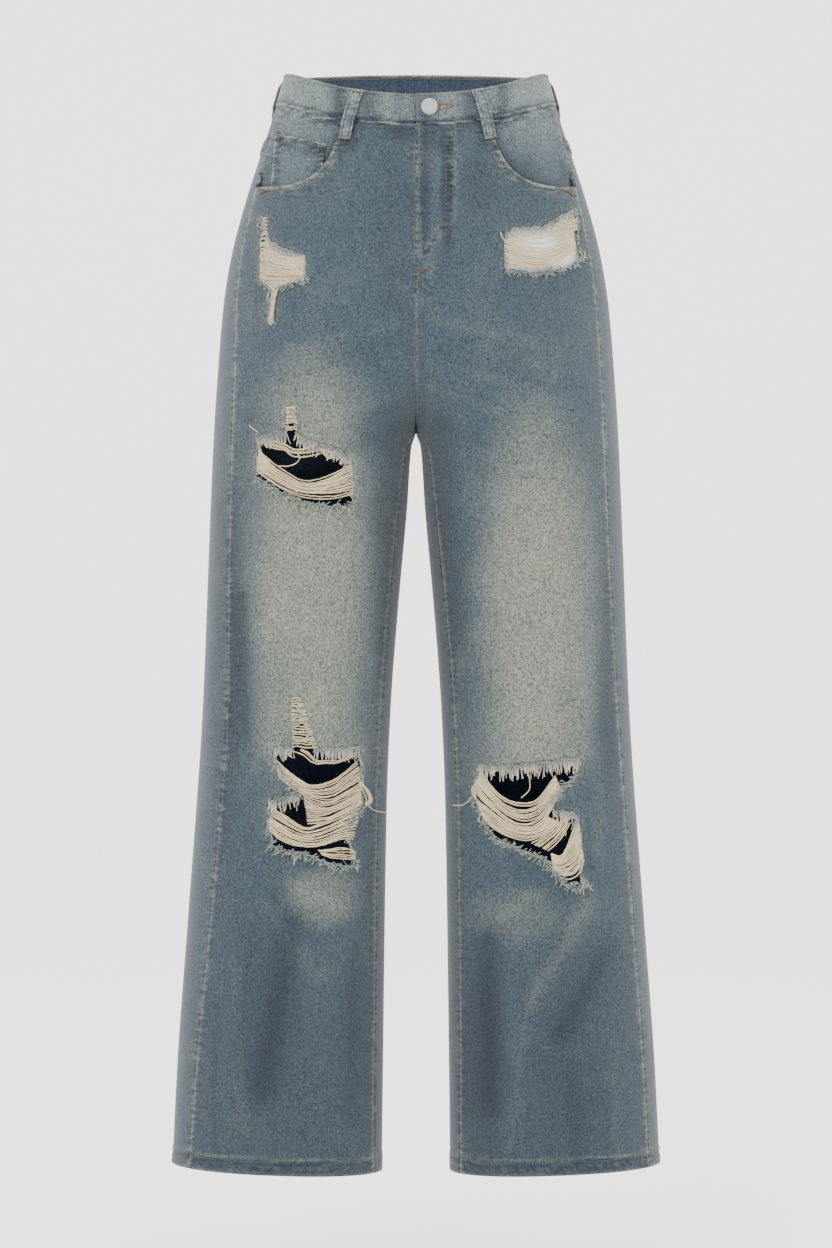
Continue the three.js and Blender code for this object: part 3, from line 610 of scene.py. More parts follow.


# ---- Where the cloth is faded, and where shade and highlights are painted on it ----

# Soft patches as (side, or 0 for both, face, x, z, half width, half height, amount).
WORN_PATCHES = (
    (-1, -1, 102, -470, 57, 182, 0.90), (1, -1, 119, -505, 57, 172, 0.92),
    (-1, -1, 98, -640, 60, 60, 0.30), (1, -1, 110, -655, 60, 45, 0.30),
    (-1, -1, 91, -795, 34, 30, 0.55), (1, -1, 100, -812, 44, 26, 0.30),
    (-1, -1, 100, -300, 52, 44, 0.16), (1, -1, 112, -300, 52, 44, 0.08),
    (1, -1, 20, -115, 4, 52, 0.08), (1, -1, 13, -182, 7, 8, 0.25),
    (0, 1, 105, -215, 82, 90, 0.65),
    (0, 1, 125, -450, 60, 120, 0.40),
    (0, 1, 125, -760, 60, 120, 0.25),
)
# Painted shade, as soft dark patches: beside folds, where the legs turn away at their inner and outer sides, down the
# shins, at the fly, under the waistband, round the pocket mouths and under the seat.
SHADE_PATCHES = (
    (-1, -1, 188, -540, 18, 190, 0.55), (1, -1, 190, -570, 12, 160, 0.40),
    (-1, -1, 22, -470, 22, 150, 0.42), (1, -1, 24, -490, 22, 170, 0.50),
    (-1, -1, 14, -150, 30, 100, 0.22), (1, -1, 8, -112, 5, 66, 0.60),
    (1, -1, 30, -108, 6, 60, 0.65), (1, -1, 20, -58, 16, 12, 0.40), (-1, -1, 16, -50, 16, 9, 0.50),
    (-1, -1, 70, -52, 13, 15, 0.60), (1, -1, 72, -52, 13, 15, 0.60), (1, -1, 62, -102, 18, 36, 0.28),
    (-1, -1, 150, -900, 40, 120, 0.20), (1, -1, 150, -940, 40, 110, 0.20),
    (1, -1, 66, -950, 22, 120, 0.38), (-1, -1, 60, -950, 18, 110, 0.16),
    (0, 1, 150, -330, 40, 40, 0.3),
    (0, 1, 60, -360, 50, 22, 0.4),
)


def spots(patches, side, face, x, z):
    total = np.zeros(np.broadcast(x, z).shape)
    for where, front, cx, cz, rx, rz, amount in patches:
        if where in (0, side) and front == face:
            near = ((x - cx) / rx) ** 2 + ((z - cz) / rz) ** 2
            total = total + amount * np.exp(-near ** 2.0)
    return total


def wear_and_painted_light(side, face, x, z):
    """How faded the cloth is at (x, z), by patches, with a painted highlight along each ridge; and how dark it is, by
    painted shade patches, painted shade in the hollows beside the ridges, and darker towards the bottom.
    """
    wear_and_highlight = spots(WORN_PATCHES, side, face, x, z)
    shade_and_dark_dye = spots(SHADE_PATCHES, side, face, x, z) + 0.24 * smooth(-z, 620, 1000)
    # a painted highlight along the crest of each raised fold, and painted shade along each sunken one
    for fold in FOLDS + CREASES:
        if fold[:2] == (side, face):
            crest = bell(near_line(x, z, *fold[2:6]), 0.6 * fold[6])
            if fold[7] > 0:
                wear_and_highlight = wear_and_highlight + 0.055 * fold[7] * crest
            else:
                shade_and_dark_dye = shade_and_dark_dye + 0.085 * -fold[7] * crest
    return np.clip(wear_and_highlight, 0, 1), np.clip(shade_and_dark_dye, 0, 1)


def hem_marks(along_hem, above):
    """Wear on a turned-up hem: light ridges at its edge and above its stitching, and the slanted darker marks of
    roping between them."""
    wear_and_highlight = 0.5 * bell(above, 1.8) + 0.5 * bell(above - 15.5, 1.8)
    marks = smooth(np.sin(2 * math.pi * (along_hem + 0.7 * above) / 8.5), 0.2, 0.9)
    shade_and_dark_dye = 0.45 * marks * smooth(above, 1.5, 4) * smooth(-above, -12, -9) + 0.45 * bell(above - 12.8, 1.1)
    return wear_and_highlight, shade_and_dark_dye


def hem_lift(z):
    """The turned-up hem stands out from the leg, with a groove along its stitching."""
    return 0.7 * smooth(HEM_LINE + 1.2 - z, 0, 2.5) - 0.5 * bell(z - HEM_LINE, 1.6)


def tuck(beyond):
    """How far a seam allowance lies behind the piece that covers it, by how far it runs beyond the seam."""
    return -1.35 * smooth(beyond, -0.3, 0.9)


def front_attributes(side, x, z):
    """Wear, painted shade and highlight, and seam pucker on a front, near its own edges and rips."""
    wear_and_highlight, shade_and_dark_dye = wear_and_painted_light(side, -1, x, z)
    to_outseam = outseam_x(side, z) - x
    to_inseam = x - inner_x(side, z)
    below_crotch = smooth(-z, -CROTCH - 10, -CROTCH + 12)
    outer_seam = fade(np.maximum(to_outseam, 0), 4) * smooth(-z, 96, 130)
    inner_seam = fade(np.maximum(to_inseam, 0), 4) * (0.35 + 0.65 * below_crotch)
    hem = fade(np.abs(z - HEM_LINE + 5), 9)
    seam = np.clip(outer_seam + inner_seam + 0.4 * hem, 0, 1)
    rim = fade(np.maximum(to_outseam, 0), 1.5) + 0.5 * fade(np.maximum(to_inseam, 0), 1.0)
    # painted shade on the front just under the waistband, which stands proud of it
    under_band = level_height(PANEL_TOP, x, -1) - z
    shade_and_dark_dye = shade_and_dark_dye + 0.55 * fade(np.maximum(under_band, 0), 4.5)
    wear_and_highlight = wear_and_highlight + 0.5 * rim
    pale_hem, deep_hem = hem_marks(x, z - level_height(np.full_like(x, HEM), x, -1))
    wear_and_highlight, shade_and_dark_dye = wear_and_highlight + pale_hem, shade_and_dark_dye + deep_hem
    for where, outline in RIPS.values():
        if where == side:
            away = near_path(x, z, outline + outline[:1])
            wear_and_highlight = wear_and_highlight + 0.5 * fade(away, 3.0)
    if side > 0:
        sewn = np.minimum(near_line(x, z, 34, -20, 34, -130), near_line(x, z, 34, -130, 6, -172))
        sewn = np.minimum(sewn, x)
        seam = np.maximum(seam, 0.9 * fade(sewn, 3.5) * smooth(z, -185, -165))
        wear_and_highlight = wear_and_highlight + 0.35 * bell(sewn - 3, 2.0) * smooth(z, -185, -165)
    mouth = near_path(x, z, POCKET_MOUTH)
    wear_and_highlight = wear_and_highlight + 0.9 * bell(mouth, 2.4)
    wear_and_highlight = wear_and_highlight + 0.28 * np.exp(-((mouth - 6) / 3.4) ** 4)
    seam = np.maximum(seam, 0.8 * bell(mouth, 11))
    return {"wear_and_highlight": np.clip(wear_and_highlight, 0, 1), "shade_and_dark_dye": np.clip(shade_and_dark_dye, 0, 1), "seam": seam}


# ---- The fronts ----

def resampled(points, step, closed=False):
    points = np.asarray(points, float)
    if closed:
        points = np.concatenate([points, points[:1]])
    lengths = np.concatenate([[0], np.cumsum(np.linalg.norm(np.diff(points, axis=0), axis=1))])
    count = max(int(round(lengths[-1] / step)), 2)
    at = np.linspace(0, lengths[-1], count + 1)
    made = np.stack([np.interp(at, lengths, points[:, i]) for i in range(points.shape[1])], -1)
    return made[:-1] if closed else made


def inside(polygon, points):
    """Whether each point is inside a closed outline."""
    x, z = points[:, 0], points[:, 1]
    odd = np.zeros(len(points), bool)
    ring = np.asarray(polygon)
    for (x0, z0), (x1, z1) in zip(ring, np.roll(ring, -1, axis=0)):
        if z0 != z1:
            crosses = (z0 > z) != (z1 > z)
            odd ^= crosses & (x < (x1 - x0) * (z - z0) / (z1 - z0) + x0)
    return odd


def rip_edge(name):
    """A rip's outline, with the small steps that single yarns leave along it."""
    chance = np.random.default_rng(sum(map(ord, name)))
    ring = resampled(RIPS[name][1], 1.7, True)
    soft = chance.normal(0, 1, len(ring))
    soft = (soft + np.roll(soft, 1) + np.roll(soft, -1)) / 3
    ahead = np.roll(ring, -1, axis=0) - np.roll(ring, 1, axis=0)
    across = np.stack([-ahead[:, 1], ahead[:, 0]], -1)
    across /= np.maximum(np.linalg.norm(across, axis=1, keepdims=True), 1e-6)
    return ring + across * soft[:, None] * 1.1


def front_outline(side):
    """Round a front in (x, z): top edge, outseam, hem and inner edge."""
    levels = np.arange(PANEL_TOP, HEM, -3.0)
    levels = np.append(levels, HEM)
    outer = outseam_x(side, levels) - GAP / 2
    outer_edge = np.stack([outer, level_height(levels, outer, -1)], -1)
    inner = inner_x(side, levels) + np.where(levels > CROTCH, 0, GAP / 2)
    inner_edge = np.stack([inner, level_height(levels, inner, -1)], -1)[::-1]
    across = np.linspace(inner[0], outer[0], 45)[1:-1]
    top = np.stack([across, level_height(np.full_like(across, PANEL_TOP), across, -1)], -1)
    across = np.linspace(outer[-1], inner[-1], 60)[1:-1]
    hem = np.stack([across, level_height(np.full_like(across, HEM), across, -1)], -1)
    return np.concatenate([top, outer_edge, hem, inner_edge])


def smooth_line(points, step):
    """A rounded line through given points, by cutting its corners twice."""
    line = np.asarray(points, float)
    for _ in range(2):
        cut = np.stack([0.75 * line[:-1] + 0.25 * line[1:], 0.25 * line[:-1] + 0.75 * line[1:]], 1)
        line = np.concatenate([line[:1], cut.reshape(-1, 2), line[-1:]])
    return resampled(line, step)


def front_panel(side, spacing):
    name = sided("front", side)
    outline = front_outline(side)
    mouth = np.concatenate([[(72, 40)], smooth_line(POCKET_MOUTH, 2.5), [(220, -90), (220, 40)]])
    holes = [rip_edge(key) for key, (where, _) in RIPS.items() if where == side]
    loops = [outline, mouth, *holes]
    rows = np.arange(HEM - 10, 0, spacing * 0.866)
    xs = np.arange(0, 250, spacing)
    grid = np.stack(np.meshgrid(xs, rows), -1)
    grid[1::2, :, 0] += spacing / 2
    grid = grid.reshape(-1, 2)
    keep = inside(outline, grid) & ~inside(mouth, grid)
    for hole in holes:
        keep &= ~inside(hole, grid)
    grid = grid[keep]
    edge_points = np.concatenate(loops)
    near = np.zeros(len(grid), bool)
    for start in range(0, len(edge_points), 60):
        block = edge_points[start:start + 60]
        gap = np.abs(grid[:, None, :] - block[None]).max(-1) < spacing * 0.5
        near |= gap.any(axis=1)
    grid = grid[~near]
    points = np.concatenate([grid, edge_points])
    edges = []
    start = len(grid)
    for loop in loops:
        edges += [(start + i, start + (i + 1) % len(loop)) for i in range(len(loop))]
        start += len(loop)
    cut = delaunay_2d_cdt([tuple(p) for p in points.tolist()], edges, [], 0, 1e-3)
    flat = np.array([tuple(p) for p in cut[0]])
    triangles = np.array([t for t in cut[2]])
    middles = flat[triangles].mean(axis=1)
    keep = inside(outline, middles) & ~inside(mouth, middles)
    for hole in holes:
        keep &= ~inside(hole, middles)
    triangles = triangles[keep]
    used, triangles = np.unique(triangles, return_inverse=True)
    triangles = triangles.reshape(-1, 3)
    flat = flat[used]
    a, b, c = (flat[triangles[:, i]] for i in range(3))
    turning = (b[:, 0] - a[:, 0]) * (c[:, 1] - a[:, 1]) - (b[:, 1] - a[:, 1]) * (c[:, 0] - a[:, 0])
    wrong = (turning < 0) == (side > 0)
    triangles[wrong] = triangles[wrong][:, ::-1]
    x, z = flat.T
    lift = hem_lift(z)
    points = on_face(side, -1, x, z, lift)
    materials = ["denim", "denim_inside_painted_dark", "frayed_yarn"]
    piece = mesh_object(name + "_cloth", points, triangles, materials, front_attributes(side, x, z))
    return stands_for(thicken(piece, 1.2), name)


# ---- The back, yokes and pockets ----

# wear, painted shade and painted highlights on a piece round the back: the fronts' where it faces forward, else the
# backs'
def grid_wear_and_painted_light(side, face_of, grid):
    x, z = np.abs(grid[..., 0]), grid[..., 2]
    ahead = grid[..., 1] < 0
    front = wear_and_painted_light(side, -1, x, z)
    back = wear_and_painted_light(side, 1, x, z)
    return np.where(ahead, front[0] * face_of, back[0]), np.where(ahead, front[1], back[1])


ALLOWANCE_U = np.array([-0.012, -0.0045, -0.0003])  # shares of a back's width that run under the front


def back_span(side, level, u):
    start = outseam_angle(side, level)
    return start + (back_inner_angle(side, level) - start) * u


def yoke_line(side, u):
    """The level of the yoke seam, which falls towards the centre back."""
    start = outseam_angle(side, np.array([YOKE_AT_SIDE]))[0]
    angle = back_span(side, np.full_like(u, YOKE_AT_BACK), u)
    t = (angle - start) / (math.pi / 2 - start)
    return YOKE_AT_SIDE + (YOKE_AT_BACK - YOKE_AT_SIDE) * t


def back_panel(side, spacing):
    name = sided("back", side)
    u = np.concatenate([ALLOWANCE_U, np.linspace(0.0015, 0.9985, int(340 / spacing)), 1 - ALLOWANCE_U[::-1]])
    v = np.concatenate([[-0.0045, -0.0012], np.linspace(0, 1, int(1000 / spacing))])[:, None]
    top = yoke_line(side, np.clip(u, 0, 1))[None] - GAP
    level = top + (HEM - top) * v
    below = smooth(-level, -CROTCH - 6, -CROTCH + 14)
    span = np.where(u > 1, 1 + (u - 1) * (0.05 + 0.95 * below), u)
    grid = skin(side, level, back_span(side, level, span))
    wear_and_highlight, shade_and_dark_dye = grid_wear_and_painted_light(side, 0.5, grid)
    z = grid[..., 2]
    to_outseam, to_inseam = np.maximum(u[None] * BACK_WIDTH, 0), np.maximum((1 - u[None]) * BACK_WIDTH, 0)
    seam = fade(to_outseam, 4) + fade(to_inseam, 4) * (0.5 + 0.5 * below)
    seam = np.clip(seam + 0.4 * fade(np.abs(z - HEM_LINE + 5), 9) + 0.6 * fade(np.abs(top - level), 4), 0, 1)
    wear_and_highlight = wear_and_highlight + 0.35 * fade(to_outseam, 1.8) + 0.3 * fade(to_inseam, 1.8)
    pale_hem, deep_hem = hem_marks(u[None] * BACK_WIDTH, level - HEM)
    wear_and_highlight, shade_and_dark_dye = wear_and_highlight + pale_hem, shade_and_dark_dye + deep_hem
    lift = hem_lift(z)
    lift = lift + tuck(level - top) + tuck(-u[None] * BACK_WIDTH) + tuck((u[None] - 1) * BACK_WIDTH) * below
    strip = np.clip(1 - to_outseam / 26, 0, 1) ** 0.5 * (grid[..., 1] < 0)
    shade_and_dark_dye = shade_and_dark_dye * (1 - 0.7 * strip)
    attributes = {"wear_and_highlight": np.clip(wear_and_highlight, 0, 1), "shade_and_dark_dye": np.clip(shade_and_dark_dye, 0, 1), "seam": seam}
    return cloth_grid(name, grid, lift, 1.2, "denim", attributes, side * 120.0)


def yoke(side):
    name = sided("yoke", side)
    u = np.concatenate([ALLOWANCE_U, np.linspace(0.0015, 1, 84)])
    v = np.linspace(0, 1, 24)[:, None]
    low = yoke_line(side, u)[None] + GAP
    level = PANEL_TOP + (low - PANEL_TOP) * v
    grid = skin(side, level, back_span(side, level, u[None]))
    wear_and_highlight, shade_and_dark_dye = grid_wear_and_painted_light(side, 0.5, grid)
    edge = fade(level - low, 2.0)
    seam = 0.7 * np.clip(fade(level - low, 4) + fade(PANEL_TOP - level, 4), 0, 1)
    wear_and_highlight = np.clip(wear_and_highlight + 0.08 + 0.4 * edge, 0, 1)
    lift = 0.9 * smooth(low + 12 - level, 0, 3) + tuck(-u[None] * 200.0)
    attributes = {"wear_and_highlight": wear_and_highlight, "shade_and_dark_dye": shade_and_dark_dye, "seam": seam}
    return cloth_grid(name, grid, lift, 1.4, "denim", attributes, side * 60.0)


def back_pocket_grid(u, v):
    """Places on a back pocket: u from its inner side to its outer side, v from its top to its point."""
    (x0, z0), (x1, z1), low_in, point, low_out = BACK_POCKET
    top = np.stack([x0 + (x1 - x0) * u, z0 + (z1 - z0) * u], -1)
    stops = (0, 0.5, 1)
    low = np.stack([np.interp(u, stops, (low_in[i], point[i], low_out[i])) for i in (0, 1)], -1)
    return top + (low - top) * v[..., None]


def back_pocket(side):
    name = sided("back_pocket", side)
    u, v = np.meshgrid(np.linspace(0, 1, 42), np.linspace(0, 1, 46))
    flat = back_pocket_grid(u, v)
    edge = np.minimum(np.minimum(u, 1 - u) * 104, np.minimum(v, 1 - v) * 130)
    out = 2.0 + 0.9 * smooth(edge, 0, 4) + 0.5 * smooth(18 - v * 130, 0, 4)
    grid = on_face(side, 1, flat[..., 0], flat[..., 1])
    wear_and_highlight, shade_and_dark_dye = wear_and_painted_light(side, 1, flat[..., 0], flat[..., 1])
    wear_and_highlight = np.clip(0.8 * wear_and_highlight + 0.6 * fade(edge, 1.8), 0, 1)
    shade_and_dark_dye = shade_and_dark_dye + 0.25 * bell(edge - 5, 3.0)
    attributes = {"wear_and_highlight": wear_and_highlight, "shade_and_dark_dye": shade_and_dark_dye, "seam": 0.7 * fade(edge, 3.5)}
    return cloth_grid(name, grid, out, 1.3, "facing_denim", attributes, side * 60.0)


def facing_out(side, angle, level):
    """The facing lies behind the front at the pocket's mouth and comes up flush to the outseam and band."""
    point = skin(1, level, angle)
    to_seam = (outseam_angle(side, level) - angle) * 100
    by_seam = 1 - smooth(to_seam, 2, 26)
    by_band = smooth(level, -34, BAND_BOTTOM)
    clear = smooth(point[..., 0], 90, 112) * smooth(point[..., 2], -90, -72)
    return -FACING_DEPTH * (1 - np.maximum(by_seam, by_band) * clear)


def pocket_facing(side):
    name = sided("pocket_facing", side)
    level = np.linspace(PANEL_TOP, FACING_LOW, 40)[:, None]
    u = np.linspace(0, 1, 48)[None]
    inner = angle_at(level, 56 + (BAND_BOTTOM - level) / (BAND_BOTTOM - FACING_LOW) * 28, -1)
    outer = outseam_angle(side, level) - 0.002
    angle = inner + (outer - inner) * u
    level = np.broadcast_to(level, angle.shape)
    grid = skin(side, level, angle)
    x, z = np.abs(grid[..., 0]), grid[..., 2]
    mouth = near_path(x, z, POCKET_MOUTH)
    # painted shade in the pocket's mouth, where the facing lies back behind the front's edge, and darker lower down and
    # towards the middle
    shade_and_dark_dye = 0.8 * fade(mouth, 6) + 0.5 * smooth(-z, 40, 110) * smooth(x, 150, 90)
    to_seam = (outer - angle) * 100
    wear_and_highlight = 0.08 + 0.45 * smooth(z, -80, -25) + 0.4 * fade(to_seam, 2.5)
    seam = np.clip(fade(to_seam, 8) + fade(PANEL_TOP - level, 7), 0, 1)
    attributes = {"wear_and_highlight": wear_and_highlight, "shade_and_dark_dye": shade_and_dark_dye, "seam": seam}
    out = facing_out(side, angle, level)
    return cloth_grid(name, grid, out, 1.2, "facing_denim", attributes, side * 20.0)


def coin_place(u, v):
    """Level and angle on the coin pocket: u from its inner side out, v from its top down."""
    level = COIN_POCKET["high"] + (COIN_POCKET["low"] - COIN_POCKET["high"]) * v
    inner = COIN_POCKET["inner"][0] + (COIN_POCKET["inner"][1] - COIN_POCKET["inner"][0]) * v
    outer = COIN_POCKET["outer"][0] + (COIN_POCKET["outer"][1] - COIN_POCKET["outer"][0]) * v
    return level, angle_at(level, inner + (outer - inner) * u, -1)


def coin_pocket():
    u, v = np.meshgrid(np.linspace(0, 1, 30), np.linspace(0, 1, 34))
    level, angle = coin_place(u, v)
    grid = skin(-1, level, angle)
    out = facing_out(-1, angle, level) + 1.9
    side_edge = np.minimum(u, 1 - u) * 50
    top_edge = v * 60
    wear_and_highlight = np.clip(0.2 + 0.9 * fade(top_edge, 3) + 0.8 * fade(side_edge, 1.6), 0, 1)
    shade_and_dark_dye = 0.3 * bell(top_edge - 9, 5) + 0.2 * bell(side_edge - 5, 3)
    seam = np.clip(fade(top_edge, 8) + fade(side_edge, 7), 0, 1)
    attributes = {"wear_and_highlight": wear_and_highlight, "shade_and_dark_dye": shade_and_dark_dye, "seam": seam}
    return cloth_grid("coin_pocket", grid, out, 1.2, "facing_denim", attributes, -20.0)


# ---- The waistband and belt loops ----

BAND_END = 1.5 * math.pi


def band_angles():
    """Round the band from the centre front, past the back, to the end of the underlap."""
    lap = angle_at(np.array([0.0]), np.array([UNDERLAP]), -1)[0] + math.pi / 2
    return np.concatenate([np.linspace(-math.pi / 2, BAND_END, 300), np.linspace(BAND_END, BAND_END + lap, 22)[1:]])


def band_inset(angle):
    return (BAND_WALL + GAP) * smooth(angle, BAND_END - 0.16, BAND_END - 0.02)


def waistband():
    angle = band_angles()[None]
    level = np.array([-15.5, -12.0, -11.2, -11, -10.4, -9.4, -7.6, -4, 1, 6, 11, 15, 18, 19.4, 20.1, 20.5])[:, None]
    crown = np.array([-1.7, -1.7, -1.2, 0.1, 0.6, 0.8, 0.85, 0.9, 1.0, 1.0, 1.0, 0.9, 0.85, 0.7, 0.3, -0.4])[:, None]
    angle, level = np.broadcast_arrays(angle, level)
    grid = skin(1, level, angle)
    x = grid[..., 0]
    ahead = grid[..., 1] < 0
    patches = [(-46, 13, 0.5), (-75, 9, 0.6), (8, 12, 0.45), (52, 12, 0.5), (84, 8, 0.45), (-16, 8, 0.25)]
    shade_and_dark_dye = sum(amount * np.exp(-((x - at) / wide) ** 2) for at, wide, amount in patches) * ahead * 1.3
    shade_and_dark_dye = np.clip(shade_and_dark_dye + 0.5 * bell(level + 7.5, 1.2), 0, 1)
    edge = fade(level - BAND_BOTTOM, 1.6) + 0.7 * fade(BAND_TOP - level, 1.2)
    wear_and_highlight = np.clip(0.62 + 0.5 * edge, 0, 1)
    seam = np.clip(fade(level - BAND_BOTTOM, 6) + 0.5 * fade(BAND_TOP - level, 5), 0, 1)
    out = crown - band_inset(angle)
    attributes = {"wear_and_highlight": wear_and_highlight, "shade_and_dark_dye": shade_and_dark_dye, "seam": 0.8 * seam}
    return cloth_grid("waistband", grid, out, 2.7, "band_denim", attributes, 0.0)


LOOP_STANDS = ((0, 0.3), (0.08, 0.9), (0.2, 3.8), (0.34, 4.2), (0.64, 4.2), (0.78, 3), (0.9, 0.9), (1, 0.3))


def loop_angle(kind, offset, level, share):
    """The angle across a belt loop, offset in millimetres from its middle line."""
    if kind in FRONT_LOOPS:
        top, foot = FRONT_LOOPS[kind]
        return angle_at(level, top + (foot - top) * share + offset, -1)
    if kind == "centre_back":
        return angle_at(level, -offset, 1)
    return SIDE_LOOP_ANGLE + offset / SIDE_RADIUS + 0 * level


def loop_place(kind, offset, share, extra=0.0):
    """Points on a belt loop's face, at an offset across it and a share of its length from the top."""
    offset, share = np.broadcast_arrays(np.asarray(offset, float), np.asarray(share, float))
    high = BAND_TOP - 0.5
    level = high + (LOOP_LOW - high) * share
    side = -1 if kind in ("front_right", "side_right") else 1
    eps = 0.4
    here = skin(side, level, loop_angle(kind, offset, level, share))
    across = skin(side, level, loop_angle(kind, offset + eps, level, share)) - here
    down = skin(side, level - eps, loop_angle(kind, offset, level, share)) - here
    normal = np.cross(down, across) * side
    normal /= np.linalg.norm(normal, axis=-1, keepdims=True)
    outward = np.sum(normal[..., :2] * here[..., :2], axis=-1, keepdims=True)
    normal = np.where(outward < 0, -normal, normal)
    shares, stands = np.array(LOOP_STANDS).T
    stand = np.interp(share, shares, stands) + 1.8 + BAND_PROUD * smooth(level, BAND_BOTTOM - 3, BAND_BOTTOM)
    return here + normal * (stand + extra)[..., None], side


LOOPS = ("front_left", "front_right", "side_left", "side_right", "centre_back")


def belt_loop(kind):
    offset, share = np.meshgrid(np.linspace(-LOOP_WIDTH / 2, LOOP_WIDTH / 2, 11), np.linspace(0, 1, 44))
    curl = -0.5 * (2 * np.abs(offset) / LOOP_WIDTH) ** 6
    grid, _ = loop_place(kind, offset, share, curl)
    edge = LOOP_WIDTH / 2 - np.abs(offset)
    wear_and_highlight = np.clip(0.6 + 0.6 * fade(edge, 0.9) + 0.5 * np.exp(-share * 12) + 0.3 * np.exp(-(1 - share) * 14), 0, 1)
    shade_and_dark_dye = 0.5 * bell(edge - 2.0, 0.8) + 0.3 * np.exp(-((share - 0.5) / 0.2) ** 2 - (offset / 2.5) ** 2)
    attributes = {"wear_and_highlight": wear_and_highlight, "shade_and_dark_dye": shade_and_dark_dye, "seam": 0.4 + 0 * wear_and_highlight}
    name = "belt_loop_" + kind
    return cloth_grid(name, grid, 0.0, 1.5, "band_denim", attributes, 0.0)


# ---- Node trees for what repeats: stitches, loose yarns and frayed edges ----

def started_tree(name, inputs):
    """A geometry node tree with its named inputs, its input node and one geometry output."""
    tree = bpy.data.node_groups.new(name, "GeometryNodeTree")
    tree.interface.new_socket("Geometry", in_out="INPUT", socket_type="NodeSocketGeometry")
    for label, kind in inputs:
        tree.interface.new_socket(label, in_out="INPUT", socket_type="NodeSocket" + kind)
    tree.interface.new_socket("Geometry", in_out="OUTPUT", socket_type="NodeSocketGeometry")
    return tree, node(tree, "NodeGroupInput").outputs


def end_tree(tree, geometry, finish):
    real = node(tree, "GeometryNodeRealizeInstances", wires={"Geometry": geometry})
    done = node(tree, "GeometryNodeSetMaterial", wires={"Geometry": real.outputs[0], "Material": finish})
    node(tree, "NodeGroupOutput", wires={"Geometry": done.outputs[0]})
    return tree


def stitch_tree():
    """Stitches laid end to end along each line: short rounded beads a pitch apart."""
    tree, given = started_tree("stitch row", [
        ("Pitch", "Float"), ("Length", "Float"), ("Thickness", "Float"), ("Material", "Material")])
    line = node(tree, "GeometryNodeMeshToCurve", wires={"Mesh": given["Geometry"]})
    places = node(tree, "GeometryNodeResampleCurve", {"mode": "LENGTH"}, {
        "Curve": line.outputs[0], "Length": given["Pitch"]})
    bead = node(tree, "GeometryNodeMeshUVSphere", wires={"Segments": 6, "Rings": 4, "Radius": 0.5})
    size = node(tree, "ShaderNodeCombineXYZ", wires={0: given["Thickness"], 1: given["Thickness"], 2: given["Length"]})
    along_line = node(tree, "GeometryNodeInputTangent")
    turn = node(tree, "FunctionNodeAlignRotationToVector", {"axis": "Z"}, {"Vector": along_line.outputs[0]})
    beads = node(tree, "GeometryNodeInstanceOnPoints", wires={
        "Points": places.outputs[0], "Instance": bead.outputs["Mesh"], "Rotation": turn.outputs[0],
        "Scale": size.outputs[0]})
    return end_tree(tree, beads.outputs[0], given["Material"])


def yarn_tree():
    """A round yarn along each line, wandering a little off it, its thickness uneven as hand-torn yarn is."""
    tree, given = started_tree("loose yarn", [
        ("Thickness", "Float"), ("Wander", "Float"), ("Grain", "Float"), ("Material", "Material")])
    line = node(tree, "GeometryNodeMeshToCurve", wires={"Mesh": given["Geometry"]})
    place = node(tree, "GeometryNodeInputPosition")
    noise = node(tree, "ShaderNodeTexNoise", {"noise_dimensions": "3D"}, {
        "Vector": place.outputs[0], "Scale": given["Grain"], "Detail": 2.0})
    swing = node(tree, "ShaderNodeVectorMath", {"operation": "SUBTRACT"}, {
        0: noise.outputs["Color"], 1: (0.5, 0.5, 0.5)})
    shift = node(tree, "ShaderNodeVectorMath", {"operation": "SCALE"}, {0: swing.outputs[0], "Scale": given["Wander"]})
    moved = node(tree, "GeometryNodeSetPosition", wires={"Geometry": line.outputs[0], "Offset": shift.outputs[0]})
    swell = product(tree, given["Thickness"], total(tree, noise.outputs["Fac"], 0.5))
    ring = node(tree, "GeometryNodeCurvePrimitiveCircle", wires={"Resolution": 5, "Radius": 0.5})
    tube = node(tree, "GeometryNodeCurveToMesh", wires={
        "Curve": moved.outputs[0], "Profile Curve": ring.outputs["Curve"], "Scale": swell, "Fill Caps": True})
    return end_tree(tree, tube.outputs[0], given["Material"])


